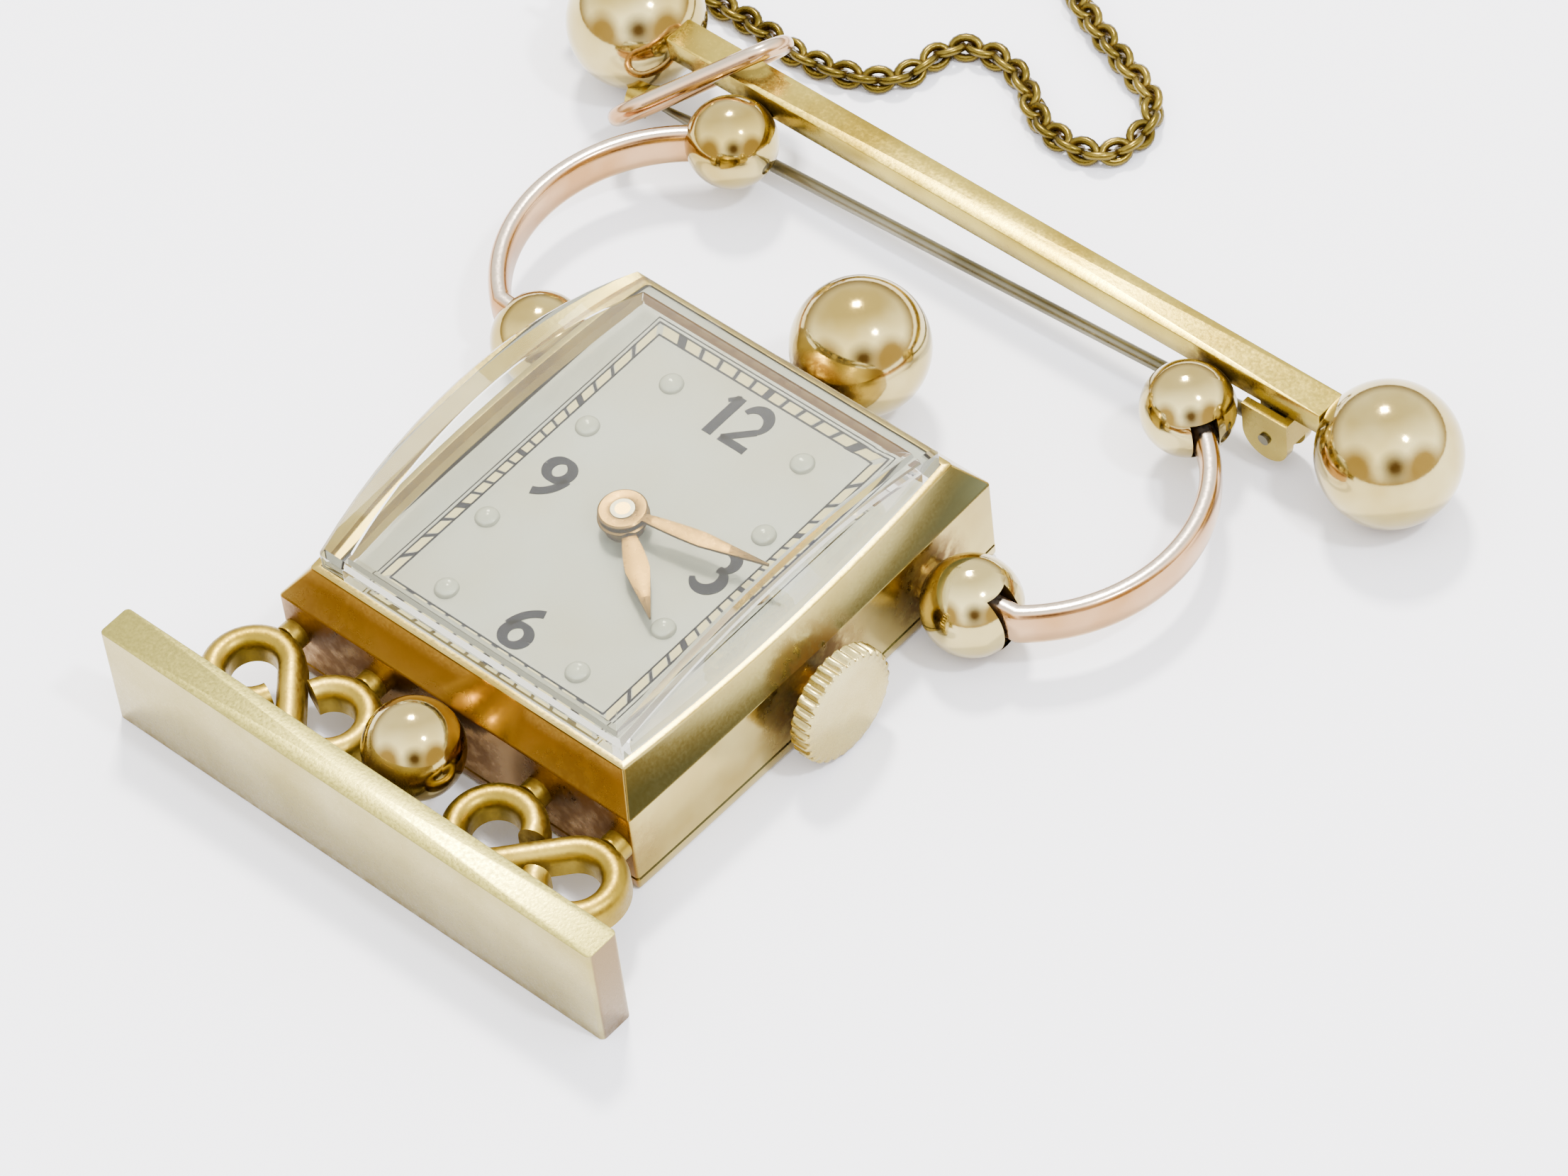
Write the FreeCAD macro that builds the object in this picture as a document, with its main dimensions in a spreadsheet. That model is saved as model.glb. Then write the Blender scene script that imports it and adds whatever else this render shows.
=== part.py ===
import FreeCAD, Part
import math
import os
import re
from types import SimpleNamespace

import Sketcher

# Pendant fob watch on a bar brooch, lying on its back. Millimetres.
# X runs from 9 to 3 across the dial, Y from 6 to 12 towards the brooch bar, Z up out of the dial.
# The origin is the middle of the flat case back.

SIZES = [
    # case
    ("case_half_x", 8.0), ("case_half_y", 9.15), ("wall_bow", 0.12), ("seam_height", 0.6),
    ("shoulder_height", 3.7), ("lip_inset", 0.85), ("lip_bow", 0.4), ("lip_height", 4.93),
    ("lip_width", 0.28), ("seat_height", 4.45), ("case_wall", 1.5), ("case_end_wall", 1.35),
    ("back_rim", 0.45), ("back_rim_width", 0.5), ("snap_gap", 0.03), ("back_edge_round", 0.22),
    # crystal
    ("crystal_top", 7.35), ("crystal_end_top", 5.7), ("crystal_wall", 0.75), ("crystal_roof", 0.9),
    # dial and hands
    ("dial_height", 4.3), ("dial_thick", 0.35), ("dial_gap", 0.05), ("hub_y", -0.3),
    ("dot_radius", 0.62), ("dot_latitude", 35.0), ("dot_one_x", 2.98), ("dot_one_y", 5.57),
    ("dot_two_x", 4.02), ("dot_two_y", 2.49), ("hand_thick", 0.14), ("minute_over_hour", 0.3),
    ("minute_length", 5.64), ("minute_angle", 78.3), ("hour_over_dial", 0.48),
    ("hour_length", 4.6), ("hour_angle", 126.5), ("hand_boss", 0.88),
    # movement
    ("plate_gap", 0.65), ("plate_end_gap", 0.3), ("plate_bottom", 2.75), ("plate_thick", 1.0),
    ("bridge_bottom", 0.85), ("bridge_thick", 0.5), ("pivot_radius", 0.07), ("pivot_gap", 0.03),
    ("jewel_radius", 0.32), ("arbor_radius", 0.12), ("mesh_gap", 0.04),
    ("centre_wheel_radius", 2.2), ("centre_pinion_radius", 0.5), ("barrel_radius", 2.6),
    ("third_wheel_radius", 1.7), ("third_pinion_radius", 0.3), ("fourth_wheel_radius", 1.5),
    ("fourth_pinion_radius", 0.22), ("escape_wheel_radius", 0.95), ("escape_pinion_radius", 0.18),
    ("balance_radius", 2.05), ("balance_x", 0.2), ("balance_y", -5.05), ("cannon_radius", 0.42),
    ("centre_arbor_radius", 0.27), ("pipe_radius", 0.62), ("pipe_gap", 0.03),
    ("motion_gear_radius", 0.5), ("minute_wheel_radius", 1.3), ("minute_pinion_radius", 0.38),
    ("hour_wheel_radius", 1.42),
    # winding
    ("stem_height", 2.2), ("stem_radius", 0.25), ("stem_gap", 0.05), ("tube_radius", 0.55),
    ("crown_radius", 2.15), ("crown_gap", 0.9), ("crown_thick", 0.8), ("crown_flute", 0.14),
    ("crown_bevel", 0.12), ("relief_depth", 0.35),
    # balls, scrolls and base plate
    ("case_ball_radius", 2.5), ("case_ball_out", 2.42), ("case_ball_z", 3.07),
    ("side_ball_radius", 1.8), ("side_ball_gap", 0.1), ("side_ball_y", 5.75), ("side_ball_z", 1.9),
    ("neck_radius", 0.8), ("lower_ball_radius", 1.78), ("lower_ball_out", 1.85),
    ("lower_ball_z", 3.31), ("scroll_radius", 1.35), ("scroll_width", 0.8),
    ("scroll_bottom", 1.65), ("scroll_tall", 1.1), ("scroll_inner_x", 3.78),
    ("scroll_pitch", 3.62), ("scroll_out", 2.18), ("scroll_round", 0.33), ("base_half_x", 11.17),
    ("base_out", 5.29), ("base_thick", 1.39), ("base_tall", 4.46), ("lug_radius", 0.55),
    # bail arms
    ("arm_inset", 3.61), ("arm_centre_y", 10.85), ("arm_radius", 6.22), ("arm_width", 0.78),
    ("arm_tall", 1.55), ("arm_round", 0.33), ("pivot_height", 2.2), ("pin_radius", 0.28),
    ("running_gap", 0.04), ("slot_gap", 0.1), ("slot_up", 1.05), ("side_ball_slot_down", 1.35),
    ("top_ball_slot_down", 0.95),
    # brooch
    ("top_ball_radius", 1.7), ("top_ball_out", 2.38), ("top_ball_y", 16.56), ("top_ball_z", 2.5),
    ("bar_over", 2.78), ("bar_set", 0.1), ("bar_wide", 1.28), ("bar_top", 3.68),
    ("bar_tall", 0.98), ("finial_radius", 2.58), ("finial_out", 2.32), ("finial_back", 0.84),
    ("hinge_inset", 2.1), ("hinge_back", 0.14), ("hinge_z", 1.5), ("cheek_thick", 0.36),
    ("cheek_radius", 0.98), ("eye_radius", 0.58), ("eye_thick", 0.56), ("rivet_radius", 0.22),
    ("pin_wire", 0.25), ("pin_sharp", 3.2), ("tip_out", 0.1), ("tip_forward", 0.9),
    ("pin_tip_z", 0.62), ("catch_out", 1.15), ("catch_wide", 0.7), ("catch_back", 0.02),
    ("catch_z", 0.78), ("catch_inner", 0.5), ("catch_strip", 0.24), ("link_wire", 0.33),
    ("link_half_height", 1.2), ("link_half_length", 3.3), ("link_out", 2.83),
    ("link_back", 0.01), ("link_drop", 1.13), ("link_shift", 0.43), ("chain_radius", 0.42),
    ("chain_ring_radius", 0.62), ("chain_ring_wire", 0.16), ("safety_pin_wire", 0.28),
    ("safety_pin_length", 11.0), ("safety_pin_gap", 1.9),
]

# Sizes that follow others.
TIED = [
    ("room_half_x", "case_half_x - case_wall"), ("room_half_y", "case_half_y - case_end_wall"),
    ("lip_half_x", "case_half_x - lip_inset"), ("lip_half_y", "case_half_y - lip_inset"),
    ("dial_half_x", "room_half_x - dial_gap"), ("dial_half_y", "room_half_y - dial_gap"),
    ("plate_half_x", "room_half_x - plate_gap"), ("plate_half_y", "room_half_y - plate_end_gap"),
    ("hour_height", "dial_height + hour_over_dial"),
    ("minute_height", "hour_height + minute_over_hour"),
    ("jewel_bore", "pivot_radius + pivot_gap"), ("crown_back", "case_half_x + crown_gap"),
    ("side_ball_x", "case_half_x + side_ball_radius + side_ball_gap"),
    ("arm_centre_x", "side_ball_x + side_ball_radius - arm_inset"),
    ("top_ball_x", "arm_centre_x + top_ball_out"), ("bar_half", "top_ball_x + top_ball_radius + bar_over"),
    ("bar_front_y", "top_ball_y + top_ball_radius - bar_set"),
    ("finial_y", "bar_front_y + finial_back"), ("hinge_y", "top_ball_y + top_ball_radius + hinge_back"),
    ("pin_tip_y", "hinge_y - tip_forward"), ("catch_y", "pin_tip_y + catch_back"),
    ("case_ball_y", "case_half_y + case_ball_out"),
    ("lower_ball_y", "-case_half_y - lower_ball_out"), ("scroll_y", "-case_half_y - scroll_out"),
    ("base_front_y", "-case_half_y - base_out"), ("finial_x", "bar_half + finial_out"),
    ("hinge_x", "bar_half - hinge_inset"), ("catch_x", "-bar_half - catch_out"),
    ("pin_tip_x", "catch_x - tip_out"),
]

# Control points of the safety chain's line, from its ring at the bar's end to its pin.
CHAIN_POINTS = [
    (-20.75, 19.35, 2.15), (-21.3, 21.2, 0.9), (-19.2, 22.7, 0.44), (-15.7, 22.95, 0.44),
    (-12.4, 22.45, 0.44), (-8.9, 23.55, 0.44), (-8.75, 26.75, 0.44), (-5.85, 26.95, 0.44),
    (-3.4, 25.0, 0.44), (-0.3, 25.2, 0.44), (-0.35, 28.4, 0.44), (-3.5, 29.55, 0.44),
    (-6.6, 30.85, 0.44), (-9.4, 32.9, 0.44), (-12.6, 33.7, 0.44), (-15.4, 33.1, 0.44),
]

NAMES = sorted((name for name, _ in SIZES + TIED), key=len, reverse=True)
WORD = re.compile(r"\b(" + "|".join(NAMES) + r")\b")
NODES = {}

doc = FreeCAD.newDocument("fob_watch")
sheet = doc.addObject("Spreadsheet::Sheet", "dims")
for row, (name, value) in enumerate(SIZES + TIED, start=1):
    sheet.set("A%d" % row, name)
    sheet.set("B%d" % row, "=%s" % value)
    sheet.setAlias("B%d" % row, name)
doc.recompute()
V = SimpleNamespace(**{name: float(sheet.get(name)) for name in NAMES})


def vec(x, y, z=0.0):
    return FreeCAD.Vector(x, y, z)


def bind(thing, prop, value):
    """Set a property from a formula in the sheet's words, or from a plain number."""
    text = WORD.sub(r"dims.\1", str(value))
    thing.setExpression(prop, text)


def place(thing, at=None, turn=None):
    """Stand a thing at three formulas, turned about an axis by an angle."""
    if turn:
        thing.Placement = FreeCAD.Placement(vec(0, 0, 0), FreeCAD.Rotation(vec(*turn[0]), turn[1]))
    for axis, value in zip("xyz", at or ()):
        bind(thing, "Placement.Base." + axis, value)
    return thing


def solid(kind, name, at=(0, 0, 0), turn=None, **dims):
    """A Part primitive with bound sizes."""
    thing = doc.addObject("Part::" + kind, name)
    for prop, value in dims.items():
        bind(thing, prop, value)
    return place(thing, at, turn)


def fuse(name, *parts):
    thing = doc.addObject("Part::MultiFuse", name)
    thing.Shapes = list(parts)
    return thing


def cut(name, base, *tools):
    """Take each tool away in turn."""
    for tool in tools:
        thing = doc.addObject("Part::Cut", name)
        thing.Base = base
        thing.Tool = tool
        base = thing
    return base


def common(name, *parts):
    thing = doc.addObject("Part::MultiCommon", name)
    thing.Shapes = list(parts)
    return thing


def group(name, *parts):
    thing = doc.addObject("Part::Compound", name)
    thing.Links = list(parts)
    return thing


def mirror(name, source):
    """The same part on the other side of the YZ plane."""
    thing = doc.addObject("Part::Mirroring", name)
    thing.Source = source
    thing.Normal = vec(1, 0, 0)
    return thing


def node(label, thing):
    """Keep a finished sub-part under its own name."""
    thing.Label = label
    NODES[label] = thing
    return thing


def line(start, end):
    return Part.LineSegment(vec(*start), vec(*end))


def arc(centre, radius, first, last):
    """An arc from one angle to another, counted anticlockwise, in degrees."""
    circle = Part.Circle(vec(*centre), vec(0, 0, 1), radius)
    return Part.ArcOfCircle(circle, math.radians(first), math.radians(last))


def polar(centre, radius, angle):
    turn = math.radians(angle)
    return (centre[0] + radius * math.cos(turn), centre[1] + radius * math.sin(turn))


def chord_arc(start, middle, end):
    return Part.Arc(vec(*start), vec(*middle), vec(*end))


def bowed(half_x, half_y, bow):
    """A rectangle whose two long sides swell outwards."""
    return [
        line((-half_x, -half_y), (half_x, -half_y)),
        chord_arc((half_x, -half_y), (half_x + bow, 0), (half_x, half_y)),
        line((half_x, half_y), (-half_x, half_y)),
        chord_arc((-half_x, half_y), (-half_x - bow, 0), (-half_x, -half_y)),
    ]


def ring_of(points):
    return [line(a, b) for a, b in zip(points, points[1:] + points[:1])]


def body_of(name):
    return doc.addObject("PartDesign::Body", name)


def sketch_on(body, name, lines, role="XY_Plane", lift=0):
    """A sketch on one of the body's own planes, lifted along its normal by a formula."""
    plane = next(p for p in body.Origin.OriginFeatures if p.Role == role)
    sketch = body.newObject("Sketcher::SketchObject", name)
    sketch.AttachmentSupport = (plane, [""])
    sketch.MapMode = "FlatFace"
    bind(sketch, "AttachmentOffset.Base.z", lift)
    sketch.addGeometry(lines, False)
    return sketch


def pad(body, name, lines, height, role="XY_Plane", lift=0):
    sketch = sketch_on(body, name + "_sketch", lines, role, lift)
    feature = body.newObject("PartDesign::Pad", name)
    feature.Profile = sketch
    bind(feature, "Length", height)
    body.Tip = feature
    return feature


def block(name, lines, height, lift=0):
    """One padded body."""
    body = body_of(name)
    pad(body, name + "_pad", lines, height, lift=lift)
    return body


def round_edges(body, feature, radius, wanted):
    """Fillet the edges of a feature that the test picks."""
    doc.recompute()
    names = ["Edge%d" % i for i, e in enumerate(feature.Shape.Edges, start=1) if wanted(e)]
    fillet = body.newObject("PartDesign::Fillet", feature.Name + "_round")
    fillet.Base = (feature, names)
    bind(fillet, "Radius", radius)
    body.Tip = fillet
    return fillet


def flat_at(height):
    return lambda e: all(abs(v.Point.z - height) < 1e-6 for v in e.Vertexes)


def teeth(count, root, tip, land=0.3):
    """A toothed outline: flat tips and flat roots joined by straight flanks."""
    step = 360.0 / count
    points = []
    for i in range(count):
        for part, radius in ((0.0, tip), (land, tip), (0.5, root), (0.5 + land, root)):
            points.append(polar((0, 0), radius, (i + part) * step))
    return ring_of(points)


def wheel(name, x, y, teeth_count, radius, bottom, thick, pinion, pinion_span, arbor_span):
    """A toothed wheel with its leaf pinion, arbor and two thin pivots."""
    rim = block(name + "_rim", teeth(teeth_count, radius - 0.12, radius), thick)
    place(rim, (x, y, bottom))
    leaf = solid("Cylinder", name + "_pinion", (x, y, pinion_span[0]), Radius=pinion,
                 Height="%s - (%s)" % (pinion_span[1], pinion_span[0]))
    arbor = solid("Cylinder", name + "_arbor", (x, y, arbor_span[0]), Radius="arbor_radius",
                  Height="%s - (%s)" % (arbor_span[1], arbor_span[0]))
    pivot = solid("Cylinder", name + "_pivot", (x, y, "bridge_bottom + 0.1"), Radius="pivot_radius",
                  Height="plate_bottom + 0.4 - bridge_bottom - 0.1")
    return fuse(name, rim, leaf, arbor, pivot)


def beside(x, y, distance, angle):
    """The point that lies a centre distance away from another, at an angle."""
    return polar((x, y), distance, angle)


# Where each wheel of the train stands, from the radii that mesh.
CENTRE = (0.0, V.hub_y)
BARREL = beside(*CENTRE, V.barrel_radius + V.centre_pinion_radius + V.mesh_gap, 124)
THIRD = beside(*CENTRE, V.centre_wheel_radius + V.third_pinion_radius + V.mesh_gap, 53)
FOURTH = beside(*THIRD, V.third_wheel_radius + V.fourth_pinion_radius + V.mesh_gap, -60)
ESCAPE = beside(*FOURTH, V.fourth_wheel_radius + V.escape_pinion_radius + V.mesh_gap, -79)
PALLET = beside(*ESCAPE, V.escape_wheel_radius + 0.62, -110)
BALANCE = (V.balance_x, V.balance_y)
MOTION = beside(*CENTRE, V.motion_gear_radius + V.minute_wheel_radius + V.mesh_gap, -50)


def make_case():
    """Lower wall, sloped shoulder and lip as one form; then the back, the shell and its hollows."""
    form = body_of("case_form")
    wall = bowed(V.case_half_x, V.case_half_y, V.wall_bow)
    pad(form, "case_wall", wall, "shoulder_height - seam_height", lift="seam_height")
    lower = sketch_on(form, "shoulder_low", wall, lift="shoulder_height")
    upper = sketch_on(form, "shoulder_top", bowed(V.lip_half_x, V.lip_half_y, V.lip_bow),
                      lift="lip_height")
    loft = form.newObject("PartDesign::AdditiveLoft", "shoulder")
    loft.Profile = lower
    loft.Sections = [upper]
    loft.Ruled = True
    form.Tip = loft
    room = block("case_room", bowed(V.room_half_x, V.room_half_y, 0.02),
                 "seat_height - seam_height + 0.2", lift="seam_height - 0.1")
    seat = block("crystal_seat", crystal_outline(0.01), "lip_height", lift="seat_height")
    relief = solid("Cylinder", "crown_relief", ("case_half_x - relief_depth", "hub_y", "stem_height"),
                   ((0, 1, 0), 90), Radius="crown_radius + 0.2", Height=3)
    bore = solid("Cylinder", "tube_bore", ("room_half_x - 1", "hub_y", "stem_height"),
                 ((0, 1, 0), 90), Radius="tube_radius", Height=4)
    node("case_shell", cut("case_shell", form, room, seat, relief, bore))

    back = body_of("case_back")
    plate = pad(back, "back_plate", wall, "seam_height")
    round_edges(back, plate, "back_edge_round", flat_at(0.0))
    outer = bowed(V.room_half_x - V.snap_gap, V.room_half_y - V.snap_gap, 0.02)
    rim = block("back_rim_outer", outer, "back_rim", lift="seam_height")
    hollow = block("back_rim_hollow", bowed(V.room_half_x - V.back_rim_width,
                                            V.room_half_y - V.back_rim_width, 0.02),
                   "back_rim + 1", lift="seam_height")
    node("case_back", fuse("case_back_whole", back, cut("back_rim_ring", rim, hollow)))
    envelope = fuse("case_envelope", form, back)
    return envelope


def crystal_outline(grow=0.0):
    return bowed(V.lip_half_x - V.lip_width + grow, V.lip_half_y - V.lip_width + grow, V.lip_bow)


def make_crystal():
    """An acrylic crystal arched along Y, hollow below, with upright ends and bowed sides."""
    half_y = V.lip_half_y - V.lip_width
    rise = V.crystal_top - V.crystal_end_top
    bend = (half_y ** 2 + rise ** 2) / (2 * rise)
    outside = block("crystal_block", crystal_outline(), "crystal_top", lift="seat_height")
    inside = block("crystal_inside", bowed(V.lip_half_x - V.lip_width - V.crystal_wall,
                                           half_y - V.crystal_wall, V.lip_bow),
                   "crystal_top", lift="seat_height - 1")
    roof = solid("Cylinder", "crystal_arch", (-15, 0, "crystal_top - %.9f" % bend), ((0, 1, 0), 90),
                 Radius=bend, Height=30)
    under = solid("Cylinder", "crystal_under", (-15, 0, "crystal_top - %.9f" % bend),
                  ((0, 1, 0), 90), Radius="%.9f - crystal_roof" % bend, Height=30)
    shape = cut("crystal", common("crystal_form", outside, roof), common("crystal_core", inside, under))
    node("crystal", shape)


def make_dial():
    plate = solid("Box", "dial_sheet", ("-dial_half_x", "-dial_half_y", "dial_height - dial_thick"),
                  Length="2 * dial_half_x", Width="2 * dial_half_y", Height="dial_thick")
    hole = solid("Cylinder", "dial_hole", (0, "hub_y", 0), Radius="pipe_radius + 0.08", Height=9)
    node("dial", cut("dial", plate, hole))
    dots = []
    for sx in (-1, 1):
        for sy in (-1, 1):
            for kind in ("one", "two"):
                at = ("%d * dot_%s_x" % (sx, kind), "hub_y + %d * dot_%s_y" % (sy, kind),
                      "dial_height - dot_radius * sin(dot_latitude * 1deg)")
                dots.append(solid("Sphere", "dot", at, Radius="dot_radius", Angle1="dot_latitude",
                                  Angle2=90))
    node("dial_dots", group("dial_dots", *dots))


def make_hand(label, height, length, angle, neck, belly, bore):
    """A leaf hand pointing along its own Y, with a round boss, then turned to the hour."""
    side = [(neck, 0.0), (neck, 1.0), (belly, 0.46 * length), (0.05, length)]
    outline = side + [(-x, y) for x, y in reversed(side)]
    leaf = block(label + "_leaf", ring_of(outline), "hand_thick")
    boss = solid("Cylinder", label + "_boss", Radius="hand_boss", Height="hand_thick")
    hole = solid("Cylinder", label + "_hole", Radius=bore, Height="hand_thick")
    hand = cut(label, fuse(label + "_form", leaf, boss), hole)
    place(hand, (0, "hub_y", height), ((0, 0, 1), -angle))
    node(label, hand)


def make_hands():
    make_hand("minute_hand", "minute_height", V.minute_length, V.minute_angle, 0.2, 0.3,
              "cannon_radius")
    make_hand("hour_hand", "hour_height", V.hour_length, V.hour_angle, 0.2, 0.4, "pipe_radius")


def make_motion_work():
    """Cannon pinion on the centre arbor, hour wheel on the cannon pinion, minute wheel beside."""
    sleeve = solid("Cylinder", "cannon_sleeve", (0, "hub_y", "plate_bottom + 0.66"),
                   Radius="cannon_radius", Height="minute_height + hand_thick - plate_bottom - 0.66")
    gear = block("cannon_gear", teeth(10, V.cannon_radius, V.motion_gear_radius), 0.2)
    place(gear, (0, "hub_y", "plate_bottom + 0.66"))
    bore = solid("Cylinder", "cannon_bore", (0, "hub_y", 0), Radius="centre_arbor_radius", Height=9)
    node("cannon_pinion", cut("cannon_pinion", fuse("cannon_form", sleeve, gear), bore))

    top = V.plate_bottom + V.plate_thick
    disc = block("hour_disc", teeth(32, V.hour_wheel_radius - 0.1, V.hour_wheel_radius), 0.1)
    place(disc, (0, "hub_y", top + 0.05))
    pipe = solid("Cylinder", "hour_pipe", (0, "hub_y", top + 0.05), Radius="pipe_radius",
                 Height="hour_height + hand_thick - %.6f" % (top + 0.05))
    clear = solid("Cylinder", "hour_bore", (0, "hub_y", 0), Radius="cannon_radius + pipe_gap",
                  Height=9)
    node("hour_wheel", cut("hour_wheel", fuse("hour_form", disc, pipe), clear))

    disc = block("minute_disc", teeth(30, V.minute_wheel_radius - 0.1, V.minute_wheel_radius), 0.13)
    place(disc, (MOTION[0], MOTION[1], top - 0.33))
    leaf = solid("Cylinder", "minute_leaf", (MOTION[0], MOTION[1], top - 0.33),
                 Radius="minute_pinion_radius", Height=0.48)
    bore = solid("Cylinder", "minute_bore", (MOTION[0], MOTION[1], 0), Radius=0.15, Height=9)
    node("minute_wheel", cut("minute_wheel", fuse("minute_form", disc, leaf), bore))


PILLARS = {
    "barrel": [(-4.9, 5.2), (-4.9, 0.2)],
    "train": [(4.9, 3.1), (4.4, -3.4)],
    "cock": [(-4.4, -6.4)],
}


def make_plate_and_bridges():
    """Main plate under the dial and three bridges below it, joined by pillars."""
    corner = 1.4
    hx, hy = V.plate_half_x, V.plate_half_y
    octagon = [(hx - corner, -hy), (hx, -hy + corner), (hx, hy - corner), (hx - corner, hy)]
    octagon += [(-x, y) for x, y in reversed(octagon)]
    plate = block("plate_form", ring_of(octagon), "plate_thick", lift="plate_bottom")
    top = V.plate_bottom + V.plate_thick
    cuts = [
        solid("Cylinder", "plate_centre", (0, "hub_y", 0), Radius="motion_gear_radius + 0.12", Height=9),
        solid("Cylinder", "plate_recess", (MOTION[0], MOTION[1], top - 0.43),
              Radius="minute_wheel_radius + 0.12", Height=2),
    ]
    for i, (x, y) in enumerate((THIRD, FOURTH, ESCAPE, PALLET, BALANCE, BARREL)):
        cuts.append(solid("Cylinder", "plate_jewel_hole_%d" % i, (x, y, "plate_bottom"),
                          Radius="jewel_radius", Height="bridge_thick"))
    stud = solid("Cylinder", "minute_stud", (MOTION[0], MOTION[1], top - 0.5), Radius=0.12,
                 Height=0.62)
    node("movement_plate", fuse("movement_plate", cut("plate_cut", plate, *cuts), stud))

    outlines = {
        "barrel": ("barrel_bridge", [(-5.5, -0.4), (-1.1, -0.4), (-1.1, 5.9), (-5.5, 5.9)], [BARREL]),
        "train": ("train_bridge", [(-0.9, -2.2), (2.0, -3.7), (2.0, -4.0), (5.0, -4.0), (5.5, 3.8),
                                   (-0.9, 3.8)], [CENTRE, THIRD, FOURTH, ESCAPE, PALLET]),
        "cock": ("balance_cock", [(-5.1, -7.0), (-3.4, -7.2), (0.6, -5.8), (0.8, -4.4), (-0.4, -4.4),
                                  (-5.1, -5.6)], [BALANCE]),
    }
    for key, (label, points, holes) in outlines.items():
        slab = block(label + "_slab", ring_of(points), "bridge_thick", lift="bridge_bottom")
        posts = [solid("Cylinder", label + "_post", (x, y, "bridge_bottom + bridge_thick"), Radius=0.5,
                       Height="plate_bottom - bridge_bottom - bridge_thick") for x, y in PILLARS[key]]
        bores = [solid("Cylinder", label + "_hole", (x, y, 0), Radius="jewel_radius", Height=2)
                 for x, y in holes]
        sinks = [solid("Cylinder", label + "_sink", (x, y, "bridge_bottom - 0.1"), Radius=0.36,
                       Height=0.3) for x, y in PILLARS[key]]
        node(label, cut(label, fuse(label + "_form", slab, *posts), *bores, *sinks))


def make_jewels_and_screws():
    """Pierced jewels pressed in the pivot holes, and slotted screws sunk in the bridges."""
    jewels = []
    upper = [THIRD, FOURTH, ESCAPE, PALLET, BALANCE, BARREL]
    lower = [CENTRE, THIRD, FOURTH, ESCAPE, PALLET, BALANCE, BARREL]
    for places, bottom in ((upper, "plate_bottom"), (lower, "bridge_bottom")):
        for x, y in places:
            disc = solid("Cylinder", "jewel_disc", (x, y, bottom), Radius="jewel_radius",
                         Height="bridge_thick")
            bore = solid("Cylinder", "jewel_hole", (x, y, bottom), Radius="jewel_bore",
                         Height="bridge_thick")
            jewels.append(cut("jewel", disc, bore))
    node("jewels", group("jewels", *jewels))
    screws = []
    for x, y in sum(PILLARS.values(), []):
        head = solid("Cylinder", "screw_head", (x, y, "bridge_bottom"), Radius=0.36, Height=0.2)
        slot = solid("Box", "screw_slot", (x - 0.5, y - 0.05, "bridge_bottom - 0.02"), Length=1,
                     Width=0.1, Height=0.1)
        screws.append(cut("screw", head, slot))
    node("bridge_screws", group("bridge_screws", *screws))


def make_train():
    """Barrel, centre, third, fourth and escape wheels, from the mainspring to the escapement."""
    low = V.bridge_bottom + V.bridge_thick
    high = V.plate_bottom
    node("mainspring_barrel", wheel("mainspring_barrel", BARREL[0], BARREL[1], 60, V.barrel_radius,
                                    1.75, 0.6, 1.1, (1.7, 2.4), (low + 0.05, high - 0.05)))
    centre = wheel("centre_train", 0, V.hub_y, 60, V.centre_wheel_radius, 2.47, 0.14,
                   V.centre_pinion_radius, (1.75, 2.35), (low + 0.05, 2.6))
    arbor = solid("Cylinder", "centre_arbor", (0, "hub_y", 2.5), Radius="centre_arbor_radius",
                  Height="minute_height + hand_thick - 2.5")
    node("centre_wheel", fuse("centre_wheel", centre, arbor))
    node("third_wheel", wheel("third_wheel", THIRD[0], THIRD[1], 48, V.third_wheel_radius, 1.48,
                              0.12, V.third_pinion_radius, (2.45, 2.63), (low + 0.04, high - 0.05)))
    node("fourth_wheel", wheel("fourth_wheel", FOURTH[0], FOURTH[1], 42, V.fourth_wheel_radius, 2.05,
                               0.1, V.fourth_pinion_radius, (1.45, 1.64), (low + 0.04, high - 0.05)))
    node("escape_wheel", wheel("escape_wheel", ESCAPE[0], ESCAPE[1], 15, V.escape_wheel_radius, 1.72,
                               0.1, V.escape_pinion_radius, (2.02, 2.18), (low + 0.04, high - 0.05)))


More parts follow.
